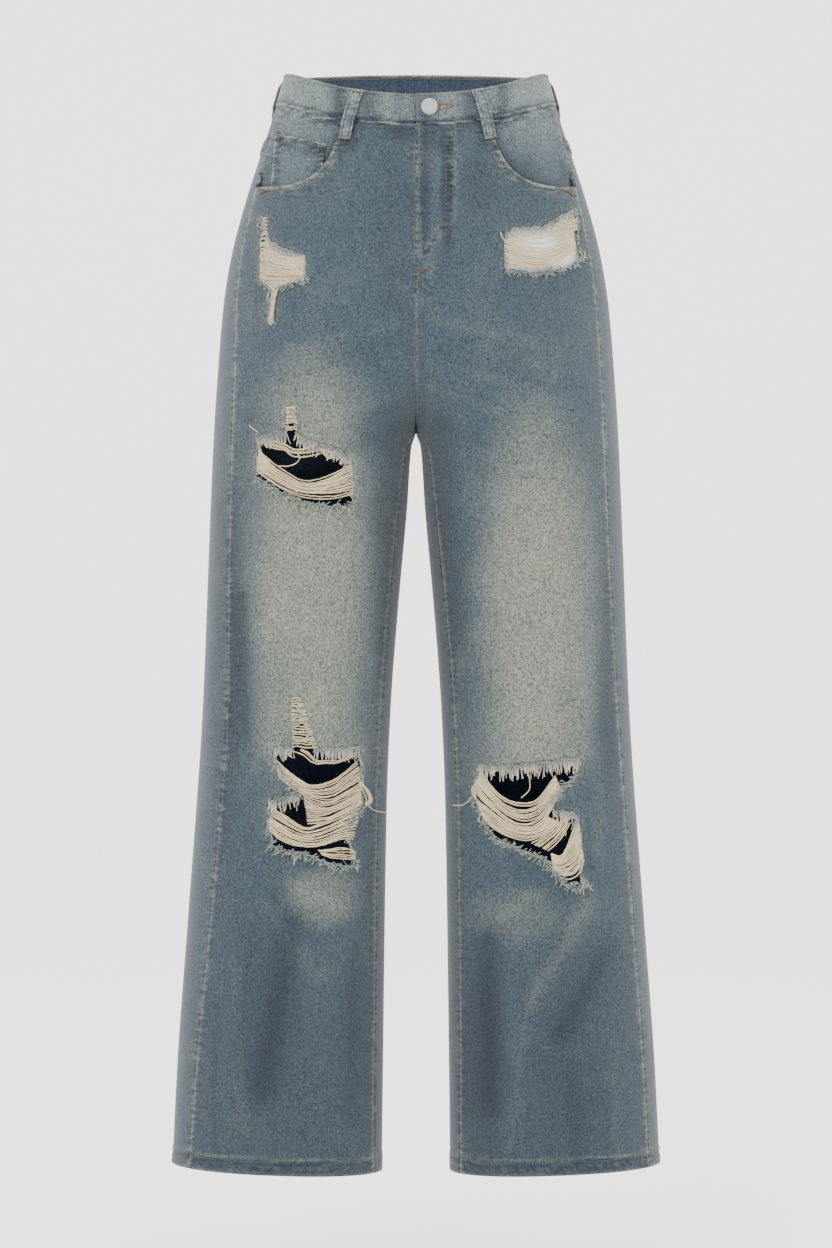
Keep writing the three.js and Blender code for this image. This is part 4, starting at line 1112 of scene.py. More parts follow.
def fringe_tree():
    """Frayed yarn ends along each line: each leaves along the line's own lean and reach, curls and droops.
    Its tip attribute runs from 0 at the cloth to 1 at the free end."""
    tree, given = started_tree("frayed edge", [
        ("Spacing", "Float"), ("Length", "Float"), ("Thickness", "Float"), ("Curl", "Float"), ("Droop", "Float"),
        ("Seed", "Int"), ("Spread", "Float"), ("Material", "Material")])
    line = node(tree, "GeometryNodeMeshToCurve", wires={"Mesh": given["Geometry"]})
    places = node(tree, "GeometryNodeResampleCurve", {"mode": "LENGTH"}, {
        "Curve": line.outputs[0], "Length": given["Spacing"]})
    lean = node(tree, "GeometryNodeInputNamedAttribute", {"data_type": "FLOAT_VECTOR"}, {"Name": "lean"})
    reach = node(tree, "GeometryNodeInputNamedAttribute", {"data_type": "FLOAT"}, {"Name": "reach"})
    jitter = node(tree, "FunctionNodeRandomValue", {"data_type": "FLOAT_VECTOR"}, {
        0: (-1.0, -0.8, -0.8), 1: (1.0, 0.5, 0.8), "Seed": given["Seed"]})
    scatter = node(tree, "ShaderNodeVectorMath", {"operation": "SCALE"}, {
        0: jitter.outputs[0], "Scale": given["Spread"]})
    aim = node(tree, "ShaderNodeVectorMath", {"operation": "ADD"}, {0: lean.outputs[0], 1: scatter.outputs[0]})
    turn = node(tree, "FunctionNodeAlignRotationToVector", {"axis": "Z"}, {"Vector": aim.outputs[0]})
    chance = node(tree, "FunctionNodeRandomValue", {"data_type": "FLOAT"}, {2: 0.45, 3: 1.25, "Seed": given["Seed"]})
    size = product(tree, product(tree, given["Length"], reach.outputs[0]), chance.outputs[1])
    end = node(tree, "GeometryNodeCurvePrimitiveLine", wires={"Start": (0, 0, 0), "End": (0, 0, 1)})
    strand = node(tree, "GeometryNodeResampleCurve", {"mode": "COUNT"}, {"Curve": end.outputs[0], "Count": 6})
    ends = node(tree, "GeometryNodeInstanceOnPoints", wires={
        "Points": places.outputs[0], "Instance": strand.outputs[0], "Rotation": turn.outputs[0], "Scale": size})
    real = node(tree, "GeometryNodeRealizeInstances", wires={"Geometry": ends.outputs[0]})
    factor = node(tree, "GeometryNodeSplineParameter").outputs["Factor"]
    marked = node(tree, "GeometryNodeStoreNamedAttribute", {"data_type": "FLOAT", "domain": "POINT"}, {
        "Geometry": real.outputs[0], "Name": "tip", "Value": factor})
    place = node(tree, "GeometryNodeInputPosition")
    noise = node(tree, "ShaderNodeTexNoise", wires={"Vector": place.outputs[0], "Scale": 210.0, "Detail": 1.0})
    swing = node(tree, "ShaderNodeVectorMath", {"operation": "SUBTRACT"}, {
        0: noise.outputs["Color"], 1: (0.5, 0.5, 0.5)})
    curl = node(tree, "ShaderNodeVectorMath", {"operation": "SCALE"}, {
        0: swing.outputs[0], "Scale": product(tree, given["Curl"], factor)})
    sag = product(tree, product(tree, given["Droop"], factor), factor)
    drop = node(tree, "ShaderNodeCombineXYZ", wires={2: product(tree, sag, -1.0)})
    shift = node(tree, "ShaderNodeVectorMath", {"operation": "ADD"}, {0: curl.outputs[0], 1: drop.outputs[0]})
    moved = node(tree, "GeometryNodeSetPosition", wires={"Geometry": marked.outputs[0], "Offset": shift.outputs[0]})
    taper = math_of(tree, "SUBTRACT", 1.0, product(tree, factor, 0.55))
    thick = product(tree, given["Thickness"], taper)
    ring = node(tree, "GeometryNodeCurvePrimitiveCircle", wires={"Resolution": 4, "Radius": 0.5})
    tube = node(tree, "GeometryNodeCurveToMesh", wires={
        "Curve": moved.outputs[0], "Profile Curve": ring.outputs["Curve"], "Scale": thick, "Fill Caps": True})
    return end_tree(tree, tube.outputs[0], given["Material"])


TREES = {"stitch": stitch_tree, "yarn": yarn_tree, "fringe": fringe_tree}


def grown(piece, kind, **inputs):
    """Runs a node tree on a piece of lines and keeps its result as a plain mesh."""
    tree = bpy.data.node_groups.get(kind) or TREES[kind]()
    tree.name = kind
    modifier = piece.modifiers.new(kind, "NODES")
    modifier.node_group = tree
    sockets = {s.name: s.identifier for s in tree.interface.items_tree if s.in_out == "INPUT"}
    for label, value in inputs.items():
        modifier[sockets[label]] = value
    depsgraph = bpy.context.evaluated_depsgraph_get()
    mesh = bpy.data.meshes.new_from_object(piece.evaluated_get(depsgraph), depsgraph=depsgraph)
    piece.modifiers.clear()
    piece.data = mesh
    if not len(mesh.polygons):
        raise RuntimeError(f"{piece.name}: its node tree made nothing")
    mesh.shade_smooth()
    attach(piece, "root")
    return piece


def stitches(name, lines, finish, pitch=3.0, thickness=0.8, share=0.8):
    piece = line_object(name, lines)
    return grown(piece, "stitch", Pitch=pitch * MM, Length=pitch * share * MM, Thickness=thickness * MM,
                 Material=material(finish))


def yarns(name, lines, finish, thickness=0.8, wander=2.0, grain=90.0):
    piece = line_object(name, lines)
    return grown(piece, "yarn", Thickness=thickness * MM, Wander=wander * MM, Grain=grain, Material=material(finish))


# ---- Sewing ----

def front_line(side, points, out=0.35, step=2.0):
    """A line of (x, z) points laid on a front."""
    line = resampled(np.asarray(points, float), step)
    return on_face(side, -1, line[:, 0], line[:, 1], out)


def beside(points, distance):
    """A line of (x, z) moved sideways by a distance, or by one for each point."""
    line = np.asarray(points, float)
    ahead = np.gradient(line, axis=0)
    ahead /= np.maximum(np.linalg.norm(ahead, axis=1, keepdims=True), 1e-6)
    return line + np.stack([-ahead[:, 1], ahead[:, 0]], -1) * np.asarray(distance)[..., None]


def bartack(side, face, x0, z0, x1, z1, out=0.6, height=2.0, turns=11):
    """A dense zigzag across a place that takes strain."""
    t = np.linspace(0, 1, turns * 2 + 1)
    across = np.array([x1 - x0, z1 - z0], float)
    up = np.array([-across[1], across[0]]) / np.linalg.norm(across)
    line = np.array([x0, z0]) + t[:, None] * across
    line = line + up * (height * (np.arange(len(t)) % 2 - 0.5))[:, None]
    return on_face(side, face, line[:, 0], line[:, 1], out)


def fly_sewing():
    rows = []
    for x, end in ((29.0, (15, -192)), (36.0, (20, -198))):
        bend = [(x, -44), (x, -150), (x - 1, -164), (x - 5, -177), (x - 10, -187), end]
        rows.append(front_line(1, smooth_line(bend, 2.0), 0.3))
    rows.append(front_line(1, [(3.2, -52), (3.2, -196)], 0.3))
    rise = [(3.5, -206), (3.5, -330)]
    rows += [front_line(1, rise, 0.3), front_line(1, [(x + 5, z) for x, z in rise], 0.3)]
    stitches("fly_and_rise_stitching", rows, "navy_thread", 4.2, 1.15, 0.62)
    tacks = [bartack(1, -1, 2, -185.5, 14, -183.5), bartack(1, -1, 1, -199.5, 6, -198)]
    yarns("fly_bartacks", tacks, "tan_thread", 1.0, 0.0)


def pocket_sewing():
    mouth = smooth_line(POCKET_MOUTH, 2.0)
    tan, slate = [], []
    for side in (1, -1):
        for distance in (3.8, 8.6):
            line = beside(mouth[2:-2], -distance)
            line = line[(line[:, 0] < outseam_x(side, line[:, 1]) - 2) & (line[:, 1] < -36)]
            slate.append(on_face(side, -1, line[:, 0], line[:, 1], 0.35))
        tan.append(bartack(side, -1, 71, -46, 77, -47))
        tan.append(bartack(side, -1, 146, -100, 154, -103))
    u = np.array([0.07, 0.13])
    v = np.linspace(0.04, 0.98, 30)
    for share in np.concatenate([u, 1 - u]):
        level, angle = coin_place(np.full_like(v, share), v)
        slate.append(lifted_row(-1, level, angle, facing_out(-1, angle, level) + 2.25))
    w = np.linspace(0.04, 0.96, 26)
    for depth in (0.06, 0.15):
        level, angle = coin_place(w, np.full_like(w, depth))
        slate.append(lifted_row(-1, level, angle, facing_out(-1, angle, level) + 2.25))
    for share in (0.09, 0.91):
        t = np.linspace(-0.06, 0.06, 15)
        level, angle = coin_place(share + t, 0.03 + 0.02 * (np.arange(15) % 2))
        tan.append(lifted_row(-1, level, angle, facing_out(-1, angle, level) + 2.5))
    stitches("front_pocket_stitching", slate, "slate_thread", 4.2, 1.25, 0.62)
    yarns("front_pocket_bartacks", tan, "tan_thread", 0.95, 0.0)


def lifted_row(side, level, angle, out):
    """A row of skin points moved out along the skin's own normal."""
    here = skin(side, level, angle)
    across = skin(side, level, angle + 0.002) - here
    down = skin(side, level - 0.5, angle) - here
    normal = np.cross(down, across) * side
    normal /= np.linalg.norm(normal, axis=-1, keepdims=True)
    probe = here + normal
    outward = np.hypot(probe[..., 0], probe[..., 1]) < np.hypot(here[..., 0], here[..., 1])
    normal = np.where(outward[..., None], -normal, normal)
    return here + normal * np.broadcast_to(out, here.shape[:-1])[..., None]


def band_sewing():
    angle = np.linspace(-math.pi / 2 + 0.02, BAND_END - 0.02, 420)
    rows = [lifted_row(1, np.full_like(angle, level), angle, 1.15 - band_inset(angle)) for level in (19.0, -7.6)]
    inner = [lifted_row(1, np.full_like(angle, 17.0), angle, -2.2 - band_inset(angle))]
    stitches("waistband_stitching", rows[1:], "navy_thread", 3.0, 0.8)
    stitches("waistband_edge_stitching", rows[:1] + inner, "tan_thread", 3.0, 0.8)
    t = np.linspace(0, 1, 60)
    ring = np.stack([21 + 16 * t, 0 * t], -1)
    top = np.stack([21 + 16 * t, np.where(t > 0.94, 0, 2.4 * (1 - t) + 0.9)], -1)
    low = top * (1, -1)
    eye = np.stack([19 + 3.9 * np.cos(t * 2 * math.pi), 3.9 * np.sin(t * 2 * math.pi)], -1)
    lines = []
    for shape in (top, low, ring[:1].repeat(2, 0) + [(0, -2), (0, 2)], eye):
        shape = resampled(shape, 0.45)
        wave = beside(shape, 0.9 * (np.arange(len(shape)) % 2) - 0.45)
        level = 6.5 + wave[:, 1]
        lines.append(lifted_row(1, level, angle_at(level, wave[:, 0], -1), 1.35))
    yarns("buttonhole_stitching", lines, "tan_thread", 0.95, 0.0)


def loop_sewing():
    rows, tacks = [], []
    share = np.linspace(0.07, 0.93, 40)
    for kind in LOOPS:
        for offset in (-3.7, 3.7):
            rows.append(loop_place(kind, offset, share, 0.25)[0])
        for start in (0.05, 0.95):
            t = np.linspace(-4.6, 4.6, 23)
            wave = start + 0.02 * (np.arange(23) % 2 - 0.5)
            tacks.append(loop_place(kind, t, wave, 0.35)[0])
    stitches("belt_loop_stitching", rows, "slate_thread", 2.8, 0.7)
    yarns("belt_loop_bartacks", tacks, "tan_thread", 0.75, 0.0)


def back_sewing():
    rows, tacks = [], []
    u = np.linspace(0.012, 0.99, 150)
    for side in (1, -1):
        top = yoke_line(side, u)
        for lift in (3.0, 9.0):
            level = top + lift
            rows.append(lifted_row(side, level, back_span(side, level, u), 1.3))
        if side > 0:
            for inset in (0.013, 0.031):
                level = np.linspace(PANEL_TOP - 4, CROTCH + 22, 180)
                angle = back_span(side, level, np.full_like(level, 1 - inset))
                rows.append(lifted_row(side, level, angle, np.where(level > -92, 1.4, 0.4)))
        for inset in (2.6, 8.4):
            a, b = inset / 108, inset / 130
            u_ring = np.concatenate([np.full(40, a), np.linspace(a, 1 - a, 50), np.full(40, 1 - a)])
            v_ring = np.concatenate([np.linspace(0.02, 1 - b, 40), np.full(50, 1 - b), np.linspace(1 - b, 0.02, 40)])
            flat = back_pocket_grid(u_ring, v_ring)
            rows.append(on_face(side, 1, flat[:, 0], flat[:, 1], 3.1))
        w = np.linspace(0.03, 0.97, 50)
        for depth in (0.03, 0.115):
            flat = back_pocket_grid(w, np.full(50, depth))
            rows.append(on_face(side, 1, flat[:, 0], flat[:, 1], 3.4))
        for w0, w1 in ((0.02, 0.08), (0.92, 0.98)):
            ends = back_pocket_grid(np.array([w0, w1]), np.array([0.02, 0.02]))
            tacks.append(bartack(side, 1, *ends[0], *ends[1], 3.5))
    stitches("back_stitching", rows, "slate_thread", 3.1, 0.85)
    yarns("back_bartacks", tacks, "tan_thread", 0.7, 0.0)


def hem_sewing():
    rows = []
    angle = np.linspace(-math.pi, math.pi, 300)
    for side in (1, -1):
        rows.append(lifted_row(side, np.full_like(angle, HEM + 12.6), angle, 0.85))
    stitches("hem_stitching", rows, "slate_thread", 3.2, 0.85)


# ---- Rips: weft yarns left hanging across, and frayed edges ----

# Webs of weft yarn left across the rips, as (side, first yarn, last yarn, how many): the yarns between the
# first and the last follow both. Each yarn is a line of (x from the middle, z).
WEBS = (
    (-1, ((122, -600), (112, -600)), ((121, -646), (97, -647)), 24),
    (-1, ((138, -659), (125, -671), (112, -681), (103, -686), (89, -684), (75, -677), (58, -662)),
     ((134, -676), (121, -688), (109, -695), (96, -701), (84, -703), (70, -695), (54, -687)), 12),
    (-1, ((110, -696), (98, -704), (86, -704), (72, -697), (55, -690)),
     ((106, -722), (92, -720), (80, -716), (66, -710), (54, -703)), 13),
    (-1, ((142, -706), (125, -716), (108, -727), (96, -723), (79, -716), (64, -708), (53, -702)),
     ((144, -728), (131, -740), (113, -745), (98, -746), (84, -741), (73, -737), (62, -738)), 17),
    (-1, ((96, -748), (79, -746), (66, -746), (60, -751)), ((92, -753), (74, -757), (60, -758)), 6),
    (-1, ((55, -681), (47, -692), (44, -701), (49, -706)), ((57, -683), (52, -693), (49, -700), (51, -705)), 5),
    (-1, ((117, -652), (108, -656), (101, -664), (87, -664), (77, -664), (59, -655)),
     ((112, -649), (104, -654), (98, -661), (86, -661), (75, -662), (61, -653)), 3),
    (-1, ((126, -316), (117, -316)), ((126, -337), (115, -337)), 11),
    (-1, ((141, -347), (131, -350), (120, -356), (110, -357), (98, -351)),
     ((149, -350), (137, -356), (127, -357), (122, -363), (113, -364), (93, -361)), 5),
    (-1, ((93, -358), (89, -363), (84, -367), (77, -362)), ((95, -356), (88, -360), (83, -362), (79, -359)), 3),
    (-1, ((153, -357), (141, -369), (127, -379), (111, -389), (93, -386), (78, -379), (63, -370)),
     ((155, -378), (141, -388), (127, -396), (111, -402), (93, -404), (78, -404), (61, -400)), 16),
    (-1, ((147, -130), (145, -130)), ((153, -157), (145, -157)), 12),
    (-1, ((152, -158), (138, -164), (125, -171), (108, -170)), ((152, -189), (140, -194), (128, -193), (109, -192)), 23),
    (-1, ((150, -190), (140, -197), (134, -198), (126, -193)), ((146, -194), (139, -200), (135, -200), (131, -196)), 4),
    (-1, ((139, -196), (141, -213), (142, -232)), ((134, -196), (138, -218), (140, -233)), 5),
    (1, ((64, -668), (72, -682), (82, -694), (95, -701), (115, -701), (124, -691), (136, -675)),
     ((58, -690), (67, -702), (82, -714), (95, -725), (111, -730), (126, -720), (132, -707), (142, -690)), 17),
    (1, ((58, -698), (74, -710), (91, -722), (105, -727), (117, -726), (130, -716)),
     ((68, -720), (79, -729), (94, -735), (111, -738), (126, -732), (141, -721)), 14),
    (1, ((113, -741), (126, -735), (136, -726), (139, -719)), ((129, -749), (140, -739), (146, -730), (151, -721)), 9),
    (1, ((158, -715), (151, -733), (145, -750), (140, -754), (132, -751)),
     ((164, -758), (160, -772), (151, -777), (142, -775), (134, -769)), 26),
    (1, ((62, -679), (55, -690), (58, -698)), ((63, -683), (59, -691), (60, -699)), 5),
    (1, ((137, -134), (147, -132), (158, -128)), ((131, -145), (146, -143), (158, -140)), 9),
    (1, ((86, -154), (99, -158), (116, -162), (130, -161), (144, -153), (154, -145)),
     ((86, -174), (96, -177), (109, -180), (123, -180), (133, -176), (147, -167), (156, -158)), 17),
    (1, ((86, -153), (99, -151), (113, -152), (126, -149), (140, -145), (154, -141)),
     ((87, -155), (100, -154), (113, -155), (127, -153), (141, -149), (155, -144)), 3),
)

# Single loose yarns on the fronts, as (side, points of (x, z)).
LOOSE_YARNS = (
    (-1, ((49, -705), (43, -711), (36, -713), (28, -716))),
    (-1, ((118, -652), (124, -648), (128, -652), (120, -658))),
    (-1, ((133, -373), (124, -374), (115, -370), (112, -364), (116, -361), (113, -366), (108, -363))),
    (-1, ((154, -340), (159, -336), (162, -333))),
    (-1, ((142, -228), (144, -232), (141, -236), (139, -231))),
    (1, ((56, -696), (52, -702), (46, -706), (38, -706))),
    (1, ((109, -669), (111, -679), (112, -689), (103, -697))),
    (1, ((144, -728), (147, -731), (146, -734))),
    (1, ((82, -146), (83, -151), (86, -154))),
    (1, ((164, -160), (166, -166), (160, -171))),
)


def weft_yarns():
    chance = np.random.default_rng(11)
    lines = []
    for side, first, last, count in WEBS:
        first, last = (smooth_line(line, 1.0) for line in (first, last))
        points = max(len(first), len(last)) // 2 + 4
        t = np.linspace(0, 1, points)
        first, last = (np.stack([np.interp(t, np.linspace(0, 1, len(line)), line[:, i]) for i in (0, 1)], -1)
                       for line in (first, last))
        for share in np.linspace(0, 1, count):
            share = np.clip(share + chance.normal(0, 0.25) / count, -0.02, 1.02)
            line = first + (last - first) * share
            strays = np.sin(math.pi * t)[:, None] * chance.normal(0, 0.9, 2)
            wave = np.sin(2 * math.pi * (t * chance.uniform(0.6, 1.6) + chance.uniform()))
            line = line + strays * (0.3, 1) + np.stack([0 * wave, 0.5 * wave * np.sin(math.pi * t)], -1)
            lift = 0.9 + chance.uniform(0.2, 2.6) * np.sin(math.pi * t)
            lines.append(on_face(side, -1, line[:, 0], line[:, 1], lift))
    yarns("weft_yarns", lines, "weft_yarn", 1.25, 1.6, 260.0)
    loose = []
    for side, points in LOOSE_YARNS:
        line = smooth_line(points, 1.2)
        loose.append(on_face(side, -1, line[:, 0], line[:, 1], 1.4))
    yarns("loose_yarns", loose, "weft_yarn", 1.0, 1.5, 200.0)


def frayed_edges():
    """Cut warp ends hang in tufts from the top edges; the other edges are felted into short curls."""
    chance = np.random.default_rng(23)
    hanging, fluffy = ([], [], []), ([], [], [])
    for name, (side, _) in RIPS.items():
        ring = rip_edge(name)
        ahead = np.roll(ring, -1, axis=0) - np.roll(ring, 1, axis=0)
        inward = np.stack([-ahead[:, 1], ahead[:, 0]], -1)
        inward /= np.maximum(np.linalg.norm(inward, axis=1, keepdims=True), 1e-6)
        inward[~inside(RIPS[name][1], ring + inward * 1.5)] *= -1
        closed = np.append(np.arange(len(ring)), 0)
        ring, inward = ring[closed], inward[closed]
        top = smooth(-inward[:, 1], 0.25, 0.7)
        low = smooth(inward[:, 1], 0.1, 0.6)
        small = 0.62 if "hip" in name else 1.0
        points = on_face(side, -1, ring[:, 0], ring[:, 1], 0.2)
        lean = np.stack([inward[:, 0] * side * 0.35, np.full(len(ring), -0.28), np.full(len(ring), -1.0)], -1)
        hanging[0].append(points)
        hanging[1].append(lean)
        hanging[2].append((0.06 + 0.94 * top) * chance.uniform(0.8, 1.1, len(ring)) * small)
        sideways = inward[:, 0] * side * (1 - low)
        lean = np.stack([sideways, np.full(len(ring), -0.55), 0.35 * inward[:, 1] - 0.55 * low], -1)
        fluffy[0].append(on_face(side, -1, ring[:, 0], ring[:, 1], 0.4))
        fluffy[1].append(lean)
        fluffy[2].append((0.4 + 0.6 * low) * chance.uniform(0.7, 1.2, len(ring)) * (0.8 if small < 1 else 1.0))
    piece = line_object("frayed_warp_ends", hanging[0], {"lean": hanging[1], "reach": hanging[2]})
    grown(piece, "fringe", Spacing=0.65 * MM, Length=12.5 * MM, Thickness=1.4 * MM, Curl=2.6 * MM,
          Droop=0.5 * MM, Seed=5, Spread=0.22, Material=material("frayed_yarn"))
    piece = line_object("fluffy_edges", fluffy[0], {"lean": fluffy[1], "reach": fluffy[2]})
    grown(piece, "fringe", Spacing=0.62 * MM, Length=9 * MM, Thickness=1.3 * MM, Curl=6.0 * MM, Droop=0.0,
          Seed=9, Spread=0.8, Material=material("fluffy_yarn"))


# ---- Trim, hidden pieces and the cut pieces of cloth ----

def trim():
    """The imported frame's own button, tack and hidden fly pieces, each with its real finish."""
    finishes = {
        "button_head": "button", "button_tack": "brass", "zip_chain": "brass", "zip_tape": "zip_tape",
        "fly_facing": "denim_inside_painted_dark", "fly_shield": "denim_inside_painted_dark", "pocket_bag_left": "pocketing",
        "pocket_bag_right": "pocketing"}
    for name, key in finishes.items():
        piece = bpy.data.objects.get(name)
        if piece is None:
            raise RuntimeError(f"the packed frame has no {name}")
        for slot in piece.material_slots:
            slot.material = material(key)


# Cut sizes before sewing: (width, length) in metres, then the area in square metres where it isn't a rectangle.
CUTS = {
    "front_left_cloth": ((0.262, 1.09), 0.205), "front_right_cloth": ((0.262, 1.09), 0.203),
    "back_left_cloth": ((0.42, 1.05), 0.395), "back_right_cloth": ((0.42, 1.05), 0.400),
    "yoke_left_cloth": ((0.22, 0.10), 0.0175), "yoke_right_cloth": ((0.22, 0.10), 0.0175),
    "back_pocket_left_cloth": ((0.125, 0.175), 0.0190), "back_pocket_right_cloth": ((0.125, 0.175), 0.0190),
    "pocket_facing_left_cloth": ((0.125, 0.11), 0.0110), "pocket_facing_right_cloth": ((0.125, 0.11), 0.0110),
    "coin_pocket_cloth": ((0.062, 0.075), None), "waistband_cloth": ((0.035, 0.77), None),
    "belt_loop_front_left_cloth": ((0.011, 0.062), None), "belt_loop_front_right_cloth": ((0.011, 0.062), None),
    "belt_loop_side_left_cloth": ((0.011, 0.062), None), "belt_loop_side_right_cloth": ((0.011, 0.062), None),
    "belt_loop_centre_back_cloth": ((0.011, 0.062), None), "fly_facing": ((0.05, 0.17), None),
    "zip_tape": ((0.03, 0.175), None),
}
# Cut in one and folded in two.
FOLDED_CUTS = {
    "pocket_bag_left": ((0.27, 0.21), 0.044), "pocket_bag_right": ((0.27, 0.21), 0.044),
    "fly_shield": ((0.104, 0.18), None),
}


def declare_cloth():
    for cuts, held in ((CUTS, "hung"), (FOLDED_CUTS, "folded")):
        for name, (flat, area) in cuts.items():
            piece = bpy.data.objects.get(name)
            if piece is None:
                raise RuntimeError(f"there is no cloth piece named {name}")


# ---- Settings, operators and the sidebar ----

class JeansCloth(bpy.types.PropertyGroup):
    """Sizes of the cloth that a user would change."""

    panel_spacing: FloatProperty(
        name="Panel spacing", description="Distance between points on the leg panels, in metres",
        default=0.0034, min=0.002, max=0.01, unit="LENGTH", subtype="DISTANCE")


class JeansStage(bpy.types.PropertyGroup):
    """The floor, light and camera."""

    floor_height: FloatProperty(
        name="Floor height", description="Height of the floor under the hems, in metres",
        default=-1.2, unit="LENGTH", subtype="DISTANCE")
    camera_distance: FloatProperty(
        name="Camera distance", description="How far the camera stands in front of the waist, in metres",
        default=3.5, min=1.0, max=10.0, unit="LENGTH", subtype="DISTANCE")
    camera_height: FloatProperty(
        name="Camera height", description="Height of the camera above the waist's middle, in metres",
        default=-0.527, unit="LENGTH", subtype="DISTANCE")
    view_height: FloatProperty(
        name="View height", description="Height of what the camera sees at the waist, in metres",
        default=1.248, min=0.5, max=4.0, unit="LENGTH", subtype="DISTANCE")
    floor_colour: FloatVectorProperty(
        name="Floor colour", description="Colour of the floor and backdrop",
        default=linear("#FFFFFF"), size=3, min=0.0, max=1.0, subtype="COLOR")
    world_strength: FloatProperty(
        name="Fill light", description="Strength of the even light from all round", default=2.6, min=0.0, max=5.0)


class JEANS_OT_fronts(bpy.types.Operator):
    """Make the two fronts, with their rips and pocket mouths"""

    bl_idname = "jeans.fronts"
    bl_label = "Fronts"

    def execute(self, context):
        spacing = context.scene.jeans_cloth.panel_spacing / MM
        front_panel(1, spacing)
        front_panel(-1, spacing)
        return {"FINISHED"}


class JEANS_OT_back(bpy.types.Operator):
    """Make the two backs, the yokes and the back pockets"""

    bl_idname = "jeans.back"
    bl_label = "Back"

    def execute(self, context):
        spacing = context.scene.jeans_cloth.panel_spacing / MM
        for side in (1, -1):
            back_panel(side, spacing)
            yoke(side)
            back_pocket(side)
        return {"FINISHED"}


class JEANS_OT_front_pockets(bpy.types.Operator):
    """Make the front pockets' facings and the coin pocket"""

    bl_idname = "jeans.front_pockets"
    bl_label = "Front pockets"

    def execute(self, context):
        pocket_facing(1)
        pocket_facing(-1)
        coin_pocket()
        return {"FINISHED"}


class JEANS_OT_waist(bpy.types.Operator):
    """Make the waistband and the five belt loops"""

    bl_idname = "jeans.waist"
    bl_label = "Waist"

    def execute(self, context):
        waistband()
        for kind in LOOPS:
            belt_loop(kind)
        return {"FINISHED"}


class JEANS_OT_sewing(bpy.types.Operator):
    """Sew the stitch rows, bartacks and the buttonhole"""

    bl_idname = "jeans.sewing"
    bl_label = "Sewing"

    def execute(self, context):
        fly_sewing()
        pocket_sewing()
        band_sewing()
        loop_sewing()
        back_sewing()
        hem_sewing()
        return {"FINISHED"}


class JEANS_OT_rips(bpy.types.Operator):
    """Fray the rips and hang their loose yarns"""

    bl_idname = "jeans.rips"
    bl_label = "Rips"

    def execute(self, context):
        weft_yarns()
        frayed_edges()
        return {"FINISHED"}


class JEANS_OT_trim(bpy.types.Operator):
    """Finish the button, tack, zip and pocket bags, and check that each cut piece of cloth is there"""

    bl_idname = "jeans.trim"
    bl_label = "Trim"

    def execute(self, context):
        trim()
        declare_cloth()
        return {"FINISHED"}


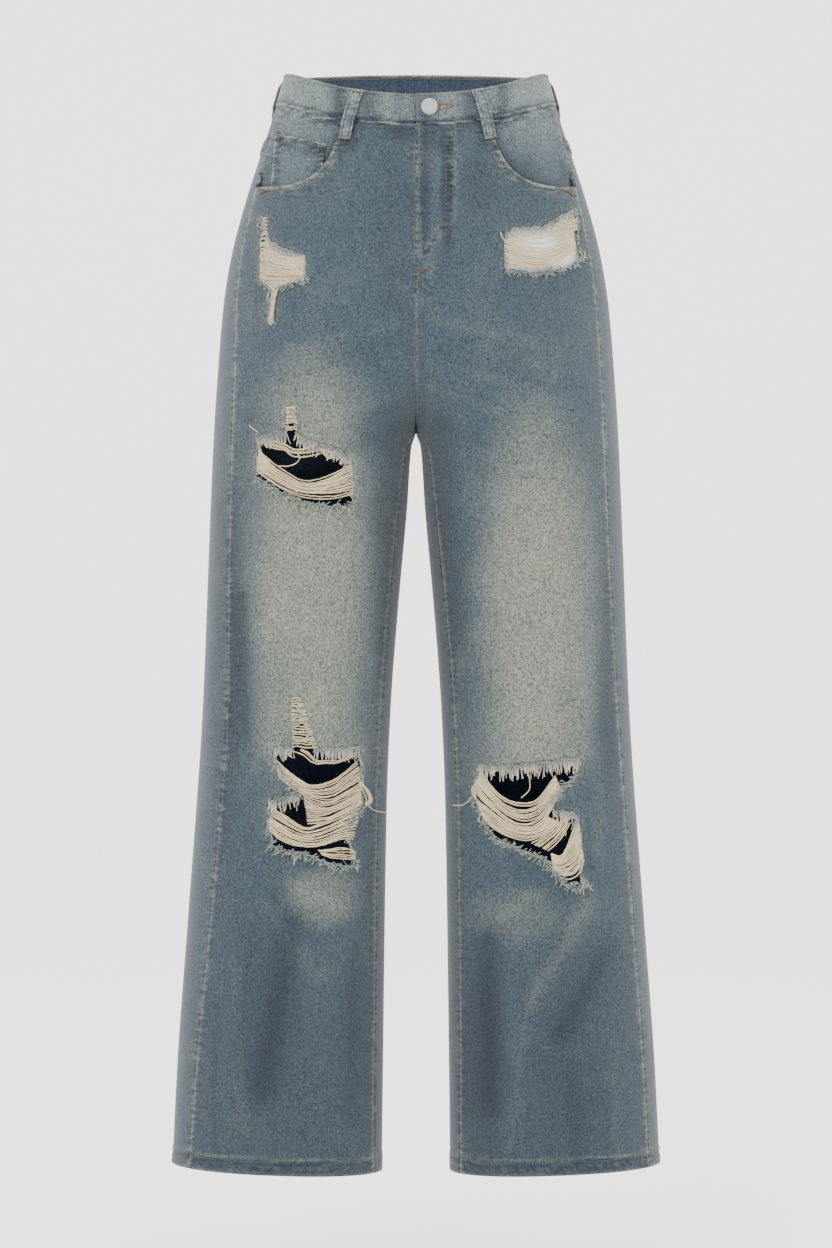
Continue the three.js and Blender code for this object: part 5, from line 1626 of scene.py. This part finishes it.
class JEANS_OT_stage(bpy.types.Operator):
    """Make the floor, the soft lights and the camera"""

    bl_idname = "jeans.stage"
    bl_label = "Stage"

    def execute(self, context):
        settings = context.scene.jeans_stage
        floor = settings.floor_height
        bend = settings.camera_distance + 1.0  # far enough back that every view round the jeans is clear
        profile = [(-20.0, floor), (bend, floor)]
        profile += [(bend + 2 * math.sin(a), floor + 2 * (1 - math.cos(a)))
                    for a in np.linspace(0, math.pi / 2, 14)[1:]]
        profile += [(bend + 2.0, floor + 12.0)]
        points = [(x, y, z) for y, z in profile for x in (-20.0, 20.0)]
        faces = [(2 * i, 2 * i + 1, 2 * i + 3, 2 * i + 2) for i in range(len(profile) - 1)]
        mesh = bpy.data.meshes.new("backdrop")
        mesh.from_pydata(points, [], faces)
        mesh.shade_smooth()
        paper, _, _ = bare_material("matt backdrop paper", **{
            "Base Color": (*settings.floor_colour, 1.0), "Roughness": 0.95, "Specular IOR Level": 0.1})
        mesh.materials.append(paper)
        backdrop = bpy.data.objects.new("backdrop", mesh)
        context.collection.objects.link(backdrop)
        world = bpy.data.worlds.new("soft studio")
        world.use_nodes = True
        sky = world.node_tree.nodes["Background"]
        sky.inputs["Color"].default_value = (1.0, 1.0, 1.0, 1.0)
        sky.inputs["Strength"].default_value = settings.world_strength
        context.scene.world = world
        soft_light("key light", (-1.5, -3.0, 1.3), 84.0, 2.0)
        soft_light("fill light", (2.0, -2.8, 0.2), 30.0, 2.2)
        soft_light("top light", (0.1, -0.3, 2.2), 32.0, 1.6)
        lens = bpy.data.cameras.new("camera")
        lens.sensor_fit = "VERTICAL"
        lens.sensor_height = 36.0
        lens.sensor_width = 36.0
        lens.lens = 36.0 * settings.camera_distance / settings.view_height
        camera = bpy.data.objects.new("camera", lens)
        camera.location = (0.0, -settings.camera_distance, settings.camera_height)
        camera.rotation_euler = (math.pi / 2, 0.0, 0.0)
        context.collection.objects.link(camera)
        context.scene.camera = camera
        return {"FINISHED"}


def soft_light(name, place, power_w, size):
    lamp = bpy.data.lights.new(name, "AREA")
    lamp.energy = power_w
    lamp.size = size
    light = bpy.data.objects.new(name, lamp)
    light.location = place
    aim = np.array([0.0, 0.0, -0.5]) - np.array(place)
    light.rotation_euler = (math.acos(-aim[2] / np.linalg.norm(aim)), 0.0, math.atan2(aim[1], aim[0]) - math.pi / 2)
    bpy.context.collection.objects.link(light)


OPERATORS = (JEANS_OT_fronts, JEANS_OT_back, JEANS_OT_front_pockets, JEANS_OT_waist, JEANS_OT_sewing, JEANS_OT_rips,
             JEANS_OT_trim, JEANS_OT_stage)


class JEANS_PT_sidebar(bpy.types.Panel):
    """Lists the pieces and their settings"""

    bl_idname = "JEANS_PT_sidebar"
    bl_label = "Ripped jeans"
    bl_space_type = "VIEW_3D"
    bl_region_type = "UI"
    bl_category = "Jeans"

    def draw(self, context):
        for group in (context.scene.jeans_cloth, context.scene.jeans_stage):
            for key in group.__annotations__:
                self.layout.prop(group, key)
        for operator in OPERATORS:
            self.layout.operator(operator.bl_idname)


CLASSES = (JeansCloth, JeansStage, *OPERATORS, JEANS_PT_sidebar)


def register():
    for cls in CLASSES:
        bpy.utils.register_class(cls)
    bpy.types.Scene.jeans_cloth = PointerProperty(type=JeansCloth)
    bpy.types.Scene.jeans_stage = PointerProperty(type=JeansStage)


def unregister():
    del bpy.types.Scene.jeans_stage
    del bpy.types.Scene.jeans_cloth
    for cls in reversed(CLASSES):
        bpy.utils.unregister_class(cls)


def main():
    register()
    for operator in OPERATORS:
        group, name = operator.bl_idname.split(".")
        result = getattr(getattr(bpy.ops, group), name)()
        if result != {"FINISHED"}:
            raise RuntimeError(f"{operator.bl_label} did not finish")


if __name__ == "__main__":
    main()
